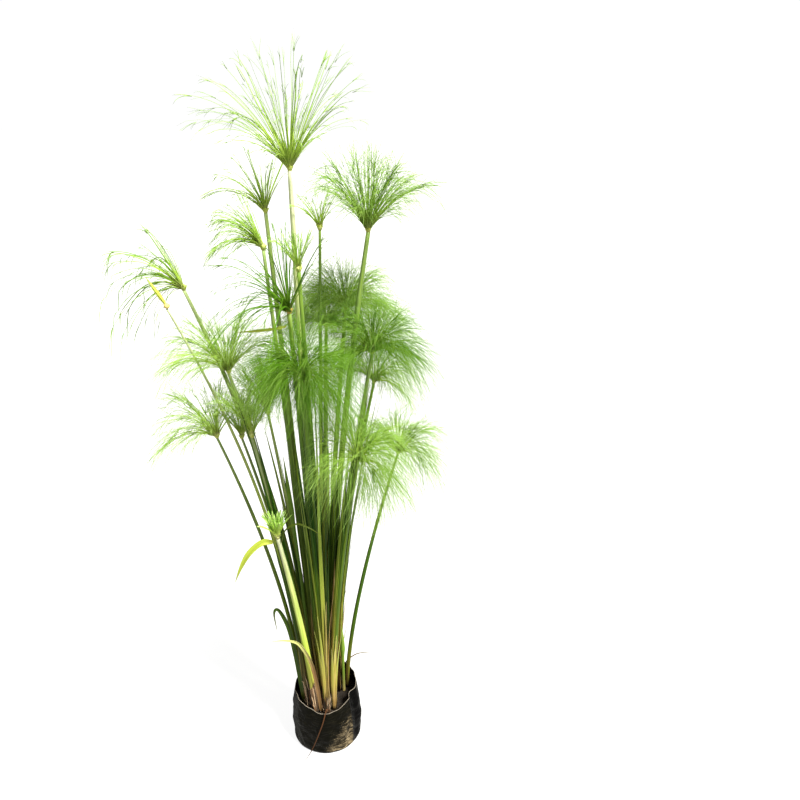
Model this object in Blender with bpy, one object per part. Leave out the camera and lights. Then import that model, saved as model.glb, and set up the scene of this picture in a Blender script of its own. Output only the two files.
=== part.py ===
"""Papyrus clump in a black polythene planter bag.

The origin is the middle of the bag's flat base, on the ground. +Z is up and -Y is the front.
Culms rise from the potting mix, and each carries an umbel: a hub with ray bundles that arch to their tips.
"""

import math
from typing import NamedTuple

import bmesh
import bpy
import numpy as np
from mathutils import Vector

# --- Driving dimensions, in metres ---
GAP = 0.0004  # clearance between touching pieces
BAG_RADIUS = 0.089  # a 280 mm lay-flat bag, opened round
BAG_OVAL = 1.03  # the bag stands this much wider, and as much shallower, than round
BAG_WALL = 0.0012
MOUTH_RADIUS = 0.0790  # the top draws in round the culms
DRAW_START = 0.45  # height where it starts to draw in, as a share of the rim's height
DRAW_POWER = 1.6
RIM_FRONT = 0.138
RIM_BACK = 0.182
RIM_DIP = 2.0  # above 1 it is high at the sides too, and dips only at the front
RIM_WAVE = 0.0025
FOLDS = ((0.0016, 5, 0.6), (0.0010, 9, 2.0))  # shallow folds: depth, number round the bag, phase
FOLDS_FULL = 0.05  # height where the folds reach their full depth
FOLDS_LEAST = 0.15  # share of that depth at the base
SOIL_TOP = 0.120
FOOT_ROUND = 0.014  # height of the rounded corner between base and side
FOOT_TUCK = 0.008  # how far that corner draws in
FLOOR_INSET = 0.0018  # how far the floor stands in from the wall, inside the rounded corner
BAG_SIDES = 32
BAG_LEVELS = (0.005, FOOT_ROUND, 0.05, 0.09, SOIL_TOP)

CULM_SIDES = 6
CULM_STEPS = np.linspace(0, 1, 8)  # stations up a culm, as shares of its height
CULM_TAPER = 0.45  # how much thinner a culm is at its top
TAPER_POWER = 2.2  # above 1 it keeps its thickness low down and narrows near the top
SHEATH_WALL = 0.0012
SHEATH_TURN = 1.0  # where round the culm a sheath's mouth is lowest
BLADE_EDGE = 0.0008  # least half width of a blade, just short of its ends
BLADE_LEAF = 0.0004  # least half thickness there
SHOOT_BOW = 1.5
# A shoot's widths as shares of its diameter: up its stem, and then at the foot, belly and neck of its point.
SHOOT_WIDTHS = (1.0, 0.9, 0.85, 0.95, 1.5, 1.0)
SPEAR_BELLY = 0.25  # places of the belly and the neck, as shares of the point's length
SPEAR_NECK = 0.6

HUB_RADIUS = 0.0065
HUB_POINTS = 12
RAY_ARCH = 0.22  # rise of a ray's arch over the straight line to its tip, as a share of its reach
RAY_STEPS = 4
RAY_HALF_WIDTH = 0.0015
CLEARANCE = 0.0016  # least gap that a ray bundle keeps to its neighbours
# A bundle with no room is opened or closed by these shares, and turned round the hub by these angles.
OPENINGS = (1.0, 0.9, 1.08, 0.8, 0.7)
TURNS = [math.radians(4.0) * ((k + 1) // 2) * (-1) ** k for k in range(17)]
TRIES = [(opening, turn) for opening in OPENINGS for turn in TURNS]

GREEN = (0.10, 0.27, 0.03)
LEAF_GREEN = (0.30, 0.50, 0.06)
STRAW = (0.62, 0.50, 0.28)
SHEATH_BROWN = (0.36, 0.20, 0.09)

GOLDEN_ANGLE = math.pi * (3 - math.sqrt(5))


class Culm(NamedTuple):
    """One culm and the umbel on its top. Lengths are in metres and angles in degrees."""

    foot: tuple  # x, y where it leaves the potting mix
    head: tuple  # x, y, z of its top
    bow: float  # 1 is a straight culm, and more bends outwards towards the top
    thick: float  # diameter at the foot
    facing: tuple  # direction that the umbel points in
    rays: int  # ray bundles
    length: float  # of a ray
    spread: float  # angle of the outermost rays from the facing direction
    drop: float  # how far the outermost tips hang down, as a share of the ray's length


CULMS = {
    # tall ones in the middle
    "01": Culm((-0.016, 0.012), (-0.025, 0.050, 1.475), 1.3, 0.0165, (-0.16, 0.0, 1), 14, 0.240, 70, 0.06),
    "02": Culm((-0.028, 0.040), (-0.090, 0.100, 1.385), 1.3, 0.0150, (-0.25, 0.1, 1), 10, 0.145, 64, 0.14),
    "03": Culm((-0.022, -0.014), (-0.07, -0.06, 1.335), 1.4, 0.0120, (-1.0, -0.1, 0.8), 10, 0.125, 52, 0.1),
    "07": Culm((-0.008, 0.038), (0.030, 0.060, 1.355), 1.2, 0.0105, (0.00, 0.0, 1), 9, 0.090, 56, 0.05),
    "08": Culm((0.020, 0.002), (0.135, 0.000, 1.360), 1.8, 0.0165, (0.06, 0.0, 1), 14, 0.200, 66, 0.12),
    "09": Culm((0.012, -0.026), (0.000, -0.075, 1.295), 1.3, 0.0135, (-0.15, -0.1, 1), 8, 0.092, 46, 0.0),
    # leaning to the left
    "04": Culm((-0.044, 0.014), (-0.255, 0.000, 1.240), 2.0, 0.0135, (-1.0, 0.1, 0.18), 13, 0.185, 62, 0.4),
    "05": Culm((-0.056, -0.020), (-0.275, -0.060, 1.215), 2.1, 0.0085, (-0.45, 0.0, 1), 3, 0.072, 16, 0.0),
    "10": Culm((-0.040, -0.006), (-0.170, -0.030, 1.065), 1.7, 0.0135, (-0.35, 0.0, 1), 13, 0.180, 80, 0.24),
    "11": Culm((-0.062, 0.000), (-0.205, -0.050, 0.920), 1.7, 0.0105, (-0.70, 0.0, 1), 11, 0.170, 76, 0.18),
    "12": Culm((-0.052, 0.032), (-0.170, 0.030, 0.880), 1.7, 0.0110, (0.05, 0.1, 1), 9, 0.130, 44, 0.0),
    "13": Culm((-0.040, -0.043), (-0.115, -0.100, 0.945), 1.6, 0.0140, (-0.05, -0.1, 1), 8, 0.135, 46, 0.0),
    "14": Culm((-0.032, 0.026), (-0.100, 0.010, 0.950), 1.5, 0.0105, (-0.10, 0.1, 1), 9, 0.160, 40, 0.0),
    "18": Culm((-0.022, -0.052), (-0.075, -0.115, 0.700), 1.4, 0.0165, (-0.10, 0.0, 1), 9, 0.066, 44, 0.0),
    # leaning to the front, to the right and to the back
    "06": Culm((-0.006, -0.036), (-0.015, -0.13, 1.225), 1.9, 0.0165, (-0.9, -0.2, 0.9), 14, 0.190, 82, 0.16),
    "15": Culm((0.007, -0.056), (0.005, -0.150, 1.100), 1.7, 0.0150, (0.30, -0.2, 1), 13, 0.145, 108, 0.40),
    "16": Culm((0.030, 0.020), (0.140, 0.000, 1.100), 1.7, 0.0145, (-0.15, -0.1, 1), 13, 0.165, 108, 0.40),
    "17": Culm((0.004, 0.022), (0.075, 0.120, 1.165), 1.5, 0.0145, (0.00, 0.1, 1), 13, 0.160, 100, 0.34),
    "19": Culm((0.054, 0.034), (0.195, 0.050, 0.830), 1.5, 0.0110, (0.40, 0.1, 1), 11, 0.145, 94, 0.30),
    "20": Culm((0.005, 0.061), (0.018, 0.212, 1.095), 1.7, 0.0140, (-0.15, 0.5, 1), 12, 0.155, 98, 0.32),
    "21": Culm((0.020, 0.046), (0.135, 0.185, 0.960), 1.7, 0.0125, (0.40, 0.5, 1), 11, 0.145, 96, 0.32),
    "22": Culm((0.024, -0.043), (0.110, -0.125, 0.900), 1.6, 0.0130, (0.35, -0.3, 1), 12, 0.145, 102, 0.36),
}

# The papery sheath round the foot of a culm: its height, and how much lower its far side is.
SHEATHS = {"06": (0.085, 0.030), "13": (0.105, 0.040), "15": (0.070, 0.030), "18": (0.130, 0.045)}


class Blade(NamedTuple):
    """A leaf, a bract or a dried strand: a flat blade along a curve through its points, in metres."""

    route: tuple
    width: float
    thickness: float
    looks: tuple  # direction that its flat side faces
    colour: tuple


BLADES = {
    "bract_hanging": Blade(
        ((-0.085, -0.117, 0.692), (-0.109, -0.125, 0.695), (-0.137, -0.130, 0.672), (-0.159, -0.135, 0.635),
         (-0.175, -0.140, 0.597)),
        0.014, 0.0012, (-0.5, -1, 0.5), LEAF_GREEN,
    ),
    "bract_arching": Blade(
        ((-0.066, -0.117, 0.692), (-0.054, -0.125, 0.728), (-0.028, -0.125, 0.744), (0.000, -0.125, 0.733),
         (0.028, -0.125, 0.712)),
        0.005, 0.0012, (0, -0.4, 1), LEAF_GREEN,
    ),
    "leaf_bent": Blade(
        ((-0.008, -0.060, 0.122), (-0.010, -0.070, 0.200), (-0.020, -0.078, 0.292), (-0.033, -0.082, 0.340),
         (-0.052, -0.084, 0.374), (-0.081, -0.088, 0.386), (-0.120, -0.092, 0.386)),
        0.011, 0.0012, (-0.3, -1, 0.3), STRAW,
    ),
    "leaf_folded": Blade(
        ((-0.0540, -0.0345, 0.122), (-0.0585, -0.0440, 0.210), (-0.064, -0.062, 0.320), (-0.074, -0.074, 0.415),
         (-0.093, -0.078, 0.470), (-0.105, -0.080, 0.462), (-0.100, -0.082, 0.400)),
        0.012, 0.0012, (-0.2, -1, 0.1), GREEN,
    ),
    "leaf_level": Blade(
        ((-0.022, -0.129, 1.199), (-0.046, -0.134, 1.195), (-0.086, -0.136, 1.191), (-0.122, -0.138, 1.189)),
        0.006, 0.0015, (0, -1, 0.2), LEAF_GREEN,
    ),
    "strand_front": Blade(
        ((0.018, -0.062, 0.122), (0.010, -0.079, 0.152), (-0.002, -0.091, 0.112), (-0.024, -0.096, 0.050),
         (-0.042, -0.102, 0.014), (-0.058, -0.113, 0.003)),
        0.003, 0.0012, (0, -1, 0.1), STRAW,
    ),
    "strand_side": Blade(
        ((0.044, 0.034, 0.122), (0.048, 0.037, 0.190), (0.072, 0.046, 0.216), (0.104, 0.050, 0.224),
         (0.173, 0.050, 0.225)),
        0.003, 0.0012, (0, -0.5, 1), STRAW,
    ),
}


class Shoot(NamedTuple):
    """A young culm that is still shut in its leaf: a spear that swells and runs out to a point."""

    foot: tuple
    tip: tuple
    thick: float
    spear: float  # length of the pointed part


SHOOTS = {
    "shoot_bright": Shoot((0.026, -0.022), (0.072, -0.045, 0.690), 0.0095, 0.150),
    "shoot_left": Shoot((-0.028, -0.030), (-0.062, -0.050, 0.880), 0.0082, 0.200),
    "shoot_short": Shoot((0.046, 0.018), (0.053, -0.030, 0.379), 0.0090, 0.120),
}


# --- Scene and mesh helpers ---
def clear_scene():
    for old in list(bpy.data.objects):
        bpy.data.objects.remove(old, do_unlink=True)


def finish(name, colour, roughness):
    material = bpy.data.materials.new(name)
    material.use_nodes = True
    shader = material.node_tree.nodes["Principled BSDF"]
    shader.inputs["Base Color"].default_value = (*colour, 1.0)
    shader.inputs["Roughness"].default_value = roughness
    shader.inputs["Metallic"].default_value = 0.0
    return material


def piece(name, points, faces, material):
    """A mesh object with its faces turned outwards and round parts shaded smooth."""
    mesh = bpy.data.meshes.new(name)
    mesh.from_pydata([tuple(p) for p in points], [], [tuple(f) for f in faces])
    shape = bmesh.new()
    shape.from_mesh(mesh)
    bmesh.ops.recalc_face_normals(shape, faces=shape.faces)
    shape.to_mesh(mesh)
    shape.free()
    mesh.shade_smooth()
    mesh.set_sharp_from_angle(angle=math.radians(50))
    mesh.materials.append(material)
    made = bpy.data.objects.new(name, mesh)
    bpy.context.collection.objects.link(made)
    return made


def loft(rings):
    """Points and faces of a closed body through rings of equal length. A ring of one point is a pole."""
    points = [p for ring in rings for p in ring]
    starts = np.cumsum([0] + [len(ring) for ring in rings])
    sides = max(len(ring) for ring in rings)
    faces = []
    for k in range(len(rings) - 1):
        low, high = starts[k], starts[k + 1]
        for i in range(sides):
            j = (i + 1) % sides
            if len(rings[k]) == 1:
                faces.append((low, high + i, high + j))
            elif len(rings[k + 1]) == 1:
                faces.append((low + i, low + j, high))
            else:
                faces.append((low + i, low + j, high + j, high + i))
    for ring, start in ((rings[0], starts[0]), (rings[-1], starts[-2])):
        if len(ring) > 1:
            faces.append(tuple(start + i for i in range(sides)))
    return points, faces


def level_ring(centre, radius, sides):
    """A level ring of points round a centre."""
    turns = np.arange(sides) * 2 * math.pi / sides
    x = centre[0] + radius * np.cos(turns)
    y = centre[1] + radius * np.sin(turns)
    return np.column_stack([x, y, np.full(sides, centre[2])])


# --- Planter bag and potting mix ---
def rim_height(turn):
    """The cut rim dips at the front, at -Y, stands high at the sides and the back, and waves a little."""
    front = (0.5 - 0.5 * np.sin(turn)) ** RIM_DIP
    return RIM_BACK + (RIM_FRONT - RIM_BACK) * front + RIM_WAVE * np.cos(3 * turn + 1.0)


def bag_radius(turn, z):
    """Radius of the bag's outside: a round foot, a full belly and a drawn-in top, with shallow folds."""
    height = np.clip(z / rim_height(turn), 0, 1)
    draw = np.clip((height - DRAW_START) / (1 - DRAW_START), 0, 1)
    belly = BAG_RADIUS + (MOUTH_RADIUS - BAG_RADIUS) * draw**DRAW_POWER
    corner = np.clip(1 - z / FOOT_ROUND, 0, 1)
    tuck = FOOT_TUCK * (1 - np.sqrt(1 - corner**2))
    folds = sum(depth * np.cos(number * turn + phase) for depth, number, phase in FOLDS)
    return belly - tuck + folds * np.clip(z / FOLDS_FULL, FOLDS_LEAST, 1)


def bag_ring(z, inset):
    """Points round the bag at a height, which may vary round it, standing in from its outside."""
    turns = np.arange(BAG_SIDES) * 2 * math.pi / BAG_SIDES
    radius = bag_radius(turns, z) - inset
    x, y = radius * BAG_OVAL * np.cos(turns), radius / BAG_OVAL * np.sin(turns)
    return np.column_stack([x, y, z * np.ones(BAG_SIDES)])


def make_bag():
    rim = rim_height(np.arange(BAG_SIDES) * 2 * math.pi / BAG_SIDES)
    neck = (SOIL_TOP + rim) / 2
    outside = [bag_ring(z, 0.0) for z in (0.0, *BAG_LEVELS, neck, rim)]
    inside = [bag_ring(z, BAG_WALL) for z in (rim, neck, *reversed(BAG_LEVELS))]
    floor = bag_ring(BAG_WALL, BAG_WALL + FLOOR_INSET)
    points, faces = loft([*outside, *inside, floor])
    piece("planter_bag", points, faces, finish("black_polythene", (0.012, 0.012, 0.013), 0.35))


def make_potting_mix():
    """The plug of potting mix follows the bag's inside and is flat on top, where the culms stand."""
    inset = BAG_WALL + 3 * GAP
    rings = [bag_ring(z, inset) for z in BAG_LEVELS]
    floor = bag_ring(BAG_WALL + GAP, inset + FLOOR_INSET)
    points, faces = loft([floor, *rings])
    piece("potting_mix", points, faces, finish("potting_mix", (0.055, 0.032, 0.02), 0.95))


# --- Culms ---
def culm_points(culm, shares):
    """Points up a culm: height grows evenly, and the sideways offset as the share to the power of the bow."""
    foot = np.array([*culm.foot, SOIL_TOP + GAP])
    across = np.asarray(shares)[:, None] ** np.array([[culm.bow, culm.bow, 1.0]])
    return foot + (np.array(culm.head) - foot) * across


def culm_radius(culm, shares):
    return culm.thick / 2 * (1 - CULM_TAPER * np.asarray(shares) ** TAPER_POWER)


def make_culm(name, culm, material):
    radii = culm_radius(culm, CULM_STEPS)
    rings = [level_ring(p, r, CULM_SIDES) for p, r in zip(culm_points(culm, CULM_STEPS), radii)]
    points, faces = loft(rings)
    piece(f"culm_{name}", points, faces, material)


# --- Sheaths, blades and shoots ---
def culm_wall(culm, heights, extra):
    """Points round a culm, one at each given height above the potting mix, standing off its surface."""
    sides = len(heights)
    turns = np.arange(sides) * 2 * math.pi / sides
    stations = culm_points(culm, CULM_STEPS)
    z = stations[0, 2] + np.asarray(heights)
    x, y = (np.interp(z, stations[:, 2], stations[:, k]) for k in (0, 1))
    radius = np.interp(z, stations[:, 2], culm_radius(culm, CULM_STEPS)) + extra / math.cos(math.pi / sides)
    return np.column_stack([x + radius * np.cos(turns), y + radius * np.sin(turns), z])


def make_sheath(name, culm, tall, slant, material):
    """A sleeve with a slanting mouth, loose round its culm. Its two ends meet in a ring at the foot."""
    sides = CULM_SIDES
    turns = np.arange(sides) * 2 * math.pi / sides
    mouth = tall - slant * (0.5 + 0.5 * np.cos(turns - SHEATH_TURN))
    levels = (0.0, 0.6, 1.0)
    outside = [culm_wall(culm, mouth * k, GAP + SHEATH_WALL) for k in levels]
    inside = [culm_wall(culm, mouth * k, GAP) for k in reversed(levels)]
    points, faces = loft(outside + inside)
    faces = faces[:-2]
    inner_foot = (2 * len(levels) - 1) * sides
    for i in range(sides):
        j = (i + 1) % sides
        faces.append((inner_foot + i, inner_foot + j, j, i))
    piece(f"sheath_{name}", points, faces, material)


def smooth_route(points, count):
    """Points spread along a Catmull-Rom curve through the given ones."""
    p = np.array(points)
    p = np.vstack([2 * p[0] - p[1], p, 2 * p[-1] - p[-2]])
    route = []
    for share in np.linspace(0, len(points) - 1, count):
        k = min(int(share), len(points) - 2)
        t = share - k
        a, b, c, d = p[k : k + 4]
        slope = c - a
        bend = 2 * a - 5 * b + 4 * c - d
        twist = 3 * b - a - 3 * c + d
        route.append(b + 0.5 * (slope * t + bend * t**2 + twist * t**3))
    return np.array(route)


def blade_route(blade):
    return smooth_route(blade.route, 2 * len(blade.route) + 1)


def make_blade(name, blade, material):
    """A blade with a flat diamond section that narrows to a point at each end, soonest at the far one."""
    route = blade_route(blade)
    count = len(route)
    along = np.gradient(route, axis=0)
    across = np.cross(along, blade.looks)
    across /= np.linalg.norm(across, axis=1)[:, None]
    up = np.cross(across, along)
    up /= np.linalg.norm(up, axis=1)[:, None]
    share = np.linspace(0, 1, count)
    swell = np.minimum(1, 1.2 * np.sin(math.pi * (0.12 + 0.88 * share) ** 0.8))
    wide = np.maximum(blade.width / 2 * swell, BLADE_EDGE)[:, None] * across
    thick = np.maximum(blade.thickness / 2 * swell**0.5, BLADE_LEAF)[:, None] * up
    rings = [np.array([p - w, p + t, p + w, p - t]) for p, w, t in zip(route, wide, thick)]
    points, faces = loft([route[:1], *rings[1:-1], route[-1:]])
    piece(name, points, faces, material)


def make_shoot(name, shoot, material):
    """A round spear on level rings: an even stem, a belly where the point begins, and a taper to its tip."""
    foot = np.array([*shoot.foot, SOIL_TOP + GAP])
    tip = np.array(shoot.tip)
    start = 1 - shoot.spear / (tip[2] - foot[2])
    stem = start * np.linspace(0, 1, len(SHOOT_WIDTHS) - 2)
    point = start + (1 - start) * np.array([SPEAR_BELLY, SPEAR_NECK])
    shares = np.concatenate([stem, point])
    centres = foot + (tip - foot) * np.column_stack([shares**SHOOT_BOW, shares**SHOOT_BOW, shares])
    rings = [level_ring(c, shoot.thick / 2 * w, CULM_SIDES) for c, w in zip(centres, SHOOT_WIDTHS)]
    points, faces = loft([*rings, np.array([tip])])
    piece(name, points, faces, material)


# --- Umbels ---
def ray_path(start, tip, shares):
    """A ray arches over the straight line from the hub to its tip, highest at the middle."""
    shares = np.asarray(shares)[:, None]
    reach = math.hypot(tip[0] - start[0], tip[1] - start[1])
    rise = np.array([0.0, 0.0, RAY_ARCH * reach])
    return start + (tip - start) * shares + 4 * shares * (1 - shares) * rise


def hub_centre(culm):
    return np.array(culm.head) + (0, 0, HUB_RADIUS + GAP)


def hub_facets(centre, facing):
    """The hub: a hull round points spread over a ball, and its facets sorted from the facing direction."""
    counts = np.arange(HUB_POINTS) + 0.5
    up = 1 - 2 * counts / HUB_POINTS
    level = np.sqrt(1 - up**2)
    turns = GOLDEN_ANGLE * counts
    ball = np.column_stack([level * np.cos(turns), level * np.sin(turns), up])
    turned = Vector((0, 0, 1)).rotation_difference(Vector(facing)).to_matrix()
    shape = bmesh.new()
    for p in ball:
        shape.verts.new(centre + HUB_RADIUS * np.array(turned @ Vector(p)))
    bmesh.ops.convex_hull(shape, input=shape.verts[:])
    bmesh.ops.recalc_face_normals(shape, faces=shape.faces)
    shape.verts.index_update()
    points = np.array([v.co for v in shape.verts])
    ahead = Vector(facing).normalized()
    sorted_faces = sorted(shape.faces, key=lambda f: -f.normal.dot(ahead))
    facets = [([v.index for v in f.verts], f.normal.copy()) for f in sorted_faces]
    shape.free()
    return points, facets


def ray_tip(culm, centre, normal, turned, stretch):
    """Where a ray ends: as far from the facing direction as its facet is, stretched to the umbel's spread."""
    ahead = Vector(culm.facing).normalized()
    angle = math.acos(max(-1.0, min(1.0, normal.dot(ahead))))
    sideways = (normal - ahead * normal.dot(ahead)).normalized()
    across = ahead.cross(sideways)
    sideways = sideways * math.cos(turned) + across * math.sin(turned)
    opened = math.radians(culm.spread) * angle * stretch
    direction = ahead * math.cos(opened) + sideways * math.sin(opened)
    hang = Vector((0, 0, -culm.drop * (1 - math.cos(opened))))
    return centre + culm.length * np.array(direction + hang)


def nearest(path, others):
    """Least gap between a ray's path and other paths, which come as pairs of points and a half width."""
    starts = np.concatenate([o[0][:-1] for o in others])
    ends = np.concatenate([o[0][1:] for o in others])
    widths = np.concatenate([np.full(len(o[0]) - 1, o[1]) for o in others])
    fine = np.linspace(0, len(path) - 1, 12 * (len(path) - 1) + 1)
    steps = np.arange(len(path))
    samples = np.column_stack([np.interp(fine, steps, path[:, k]) for k in range(3)])
    along = ends - starts
    shares = np.einsum("psk,sk->ps", samples[:, None] - starts, along) / (along**2).sum(1)
    spots = starts + np.clip(shares, 0, 1)[..., None] * along
    apart = np.linalg.norm(samples[:, None] - spots, axis=2) - widths - RAY_HALF_WIDTH
    return apart.min()


def make_umbel(name, culm, standing, material):
    """The hub and its ray bundles. A bundle that would meet a neighbour is turned aside round the hub."""
    centre = hub_centre(culm)
    points, facets = hub_facets(centre, culm.facing)
    points = [*points]
    used = facets[: culm.rays]
    widest = math.acos(used[-1][1].dot(Vector(culm.facing).normalized()))
    faces = [corners for corners, _ in facets[culm.rays :]]
    shares = np.linspace(0, 1, RAY_STEPS + 1)
    own = list(standing[name])
    others = [o for owner, owned in standing.items() if owner != name for o in owned]
    for corners, normal in used:
        root = np.mean([points[c] for c in corners], axis=0)
        best = (-1.0, None)
        for opening, turned in TRIES:
            path = ray_path(root, ray_tip(culm, centre, normal, turned, opening / widest), shares)
            room = min(nearest(path[1:], own), nearest(path, others))
            if room > best[0]:
                best = (room, path)
            if room > CLEARANCE:
                break
        room, path = best
        if room < CLEARANCE:
            print(f"umbel_{name}: a ray has only {room * 1000:.1f} mm of room")
        own.append((path[1:], RAY_HALF_WIDTH))
        standing[name].append((path, RAY_HALF_WIDTH))
        faces += sprout(points, corners, root, path)
    piece(f"umbel_{name}", points, faces, material)


def sprout(points, corners, root, path):
    """Faces of a three-sided ray that grows from a facet of the hub and narrows to a point at its tip."""
    base = np.array([points[c] for c in corners]) - root
    outward = np.cross(base[1] - base[0], base[2] - base[0])
    slim = base / np.linalg.norm(base, axis=1).mean()
    faces = []
    last = list(corners)
    for k in range(1, len(path) - 1):
        along = path[k + 1] - path[k - 1]
        turn = Vector(outward).rotation_difference(Vector(along)).to_matrix()
        width = RAY_HALF_WIDTH * (1.1 - 0.6 * k / RAY_STEPS)
        ring = [len(points) + i for i in range(3)]
        points += [path[k] + width * np.array(turn @ Vector(p)) for p in slim]
        for i in range(3):
            j = (i + 1) % 3
            faces.append((last[i], last[j], ring[j]))
            faces.append((last[i], ring[j], ring[i]))
        last = ring
    points.append(path[-1])
    tip = len(points) - 1
    faces += [(last[i], last[(i + 1) % 3], tip) for i in range(3)]
    return faces


def main():
    clear_scene()
    make_bag()
    make_potting_mix()
    green = finish("culm_green", GREEN, 0.45)
    leafy = finish("umbel_green", LEAF_GREEN, 0.6)
    papery = finish("sheath_brown", SHEATH_BROWN, 0.8)
    for name, culm in CULMS.items():
        make_culm(name, culm, green)
    for name, (tall, slant) in SHEATHS.items():
        make_sheath(name, CULMS[name], tall, slant, papery)
    for name, shoot in SHOOTS.items():
        make_shoot(name, shoot, leafy)
    for name, blade in BLADES.items():
        make_blade(name, blade, finish(name, blade.colour, 0.6))
    standing = {name: [(blade_route(b), b.width / 2)] for name, b in BLADES.items()}
    for name, culm in CULMS.items():
        hub = np.array([culm.head, hub_centre(culm)])
        standing[name] = [(culm_points(culm, CULM_STEPS), culm.thick / 2), (hub, HUB_RADIUS)]
    for name, culm in CULMS.items():
        make_umbel(name, culm, standing, leafy)


main()
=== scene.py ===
# %% [markdown]
# # A papyrus clump in a black planter bag
# Papyrus is a giant sedge. Each culm is a bare green stem, and on its top sits an umbel, a mop of fine rays
# that fork into threads. This lesson dresses a plain model of one clump, piece by piece, and every piece is
# a surface worked out with numpy. The plain model comes in first, because it says where each culm and each
# umbel stands.

# %% Load the plain model
from typing import NamedTuple

import bpy
import numpy as np
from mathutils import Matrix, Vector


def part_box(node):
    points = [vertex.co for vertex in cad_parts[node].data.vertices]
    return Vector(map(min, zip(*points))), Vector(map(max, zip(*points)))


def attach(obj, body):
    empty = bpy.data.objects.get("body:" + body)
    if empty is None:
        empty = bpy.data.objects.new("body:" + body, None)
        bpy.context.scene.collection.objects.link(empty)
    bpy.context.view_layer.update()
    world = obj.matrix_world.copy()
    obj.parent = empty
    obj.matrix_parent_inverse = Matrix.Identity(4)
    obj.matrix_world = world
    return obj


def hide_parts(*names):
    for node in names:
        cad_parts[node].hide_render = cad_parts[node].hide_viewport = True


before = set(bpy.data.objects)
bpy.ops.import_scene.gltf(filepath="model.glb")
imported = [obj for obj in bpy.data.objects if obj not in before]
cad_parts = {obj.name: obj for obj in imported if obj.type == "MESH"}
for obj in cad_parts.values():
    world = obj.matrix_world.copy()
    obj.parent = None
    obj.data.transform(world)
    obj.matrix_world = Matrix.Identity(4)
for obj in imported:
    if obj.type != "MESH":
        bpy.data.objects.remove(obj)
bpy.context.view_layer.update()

# %% [markdown]
# ## Camera, light and floor
# The plant is seen from a standing person's height, looking a little down, so the camera comes first. A
# high-key set suits fine green threads: a white surround fills the shadows, one strong soft light from the
# right and the front gives them a bright side, and the pale floor runs on past the edges of the view.

# %% Camera
CAMERA_PLACE = (0.20, -1.45, 1.59)
CAMERA_PITCH = np.radians(90 - 22.5)
CAMERA_LENS = 31.5

camera = bpy.data.objects.new("camera", bpy.data.cameras.new("camera"))
camera.data.lens = CAMERA_LENS
camera.location = CAMERA_PLACE
camera.rotation_euler = (CAMERA_PITCH, 0, 0)
bpy.context.scene.collection.objects.link(camera)
bpy.context.scene.camera = camera
bpy.context.scene.view_settings.view_transform = "Standard"
print("camera at", CAMERA_PLACE, "with a lens of", CAMERA_LENS, "mm")

# %% Light
KEY_STRENGTH = 7.2
KEY_SOFTNESS = np.radians(14)
SURROUND = 1.02
FILL = 0.40
KEY_TURN = (np.radians(37), 0, np.radians(52))

key = bpy.data.objects.new("key_light", bpy.data.lights.new("key_light", "SUN"))
key.data.energy = KEY_STRENGTH
key.data.angle = KEY_SOFTNESS
key.data.color = (1.0, 0.97, 0.90)
key.rotation_euler = KEY_TURN
bpy.context.scene.collection.objects.link(key)
world = bpy.data.worlds.new("white_surround")
world.use_nodes = True
bpy.context.scene.world = world
print("key light", KEY_STRENGTH, "with a fill of", FILL)

# %% [markdown]
# ## Nodes in a few words
# A material is a graph of nodes, and so is the surround. A graph could be drawn by hand in the shader
# editor, but written out it can be read from top to bottom. A few helpers keep the graphs below short: most
# add one node and give back its output, so that a graph reads like a formula.

# %% Node helpers


def node(tree, kind, values=None, **settings):
    """Adds a shader node, sets its properties, and gives its inputs the values or links named in values."""
    made = tree.nodes.new("ShaderNode" + kind)
    for name, setting in settings.items():
        setattr(made, name, setting)
    for name, value in (values or {}).items():
        if isinstance(value, bpy.types.NodeSocket):
            tree.links.new(value, made.inputs[name])
        else:
            made.inputs[name].default_value = value
    return made


def mixed(tree, share, first, second, how="MIX"):
    """The colour between two colours, at share; each may be a value or a link."""
    made = tree.nodes.new("ShaderNodeMix")
    made.data_type = "RGBA"
    made.blend_type = how
    for place, value in ((0, share), (6, first), (7, second)):  # the sockets of its factor and two colours
        if isinstance(value, bpy.types.NodeSocket):
            tree.links.new(value, made.inputs[place])
        else:
            made.inputs[place].default_value = value if place == 0 else (*value, 1)
    return made.outputs[2]


def ramp(tree, share, *stops):
    """The colour that a row of (place, colour) stops gives at share."""
    made = node(tree, "ValToRGB", {"Fac": share})
    while len(made.color_ramp.elements) < len(stops):
        made.color_ramp.elements.new(0.5)
    for element, (place, colour) in zip(made.color_ramp.elements, stops):
        element.position = place
        element.color = (*colour, 1)
    return made.outputs["Color"]


def spread(tree, value, low, high, to_low=0.0, to_high=1.0):
    """A value stretched from low..high to to_low..to_high, and held there."""
    made = node(tree, "MapRange", {"Value": value, "From Min": low, "From Max": high})
    made.inputs["To Min"].default_value = to_low
    made.inputs["To Max"].default_value = to_high
    return made.outputs["Result"]


def attribute(tree, name, output="Fac"):
    """A number or vector that the mesh keeps for each of its points."""
    return node(tree, "Attribute", attribute_name=name).outputs[output]


def combined(tree, operation, first, second, kind="Math"):
    """Two numbers, or two vectors, added, multiplied or otherwise combined."""
    return node(tree, kind, {0: first, 1: second}, operation=operation).outputs[0]


def noise(tree, place, scale, detail, output="Fac", **more):
    """Smooth noise at a place, with scale bumps to a metre."""
    return node(tree, "TexNoise", {"Vector": place, "Scale": scale, "Detail": detail, **more}).outputs[output]


def start_material(name):
    """An empty material: its tree and its Principled BSDF."""
    material = bpy.data.materials.new(name)
    material.use_nodes = True
    return material, material.node_tree, material.node_tree.nodes["Principled BSDF"]


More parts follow.
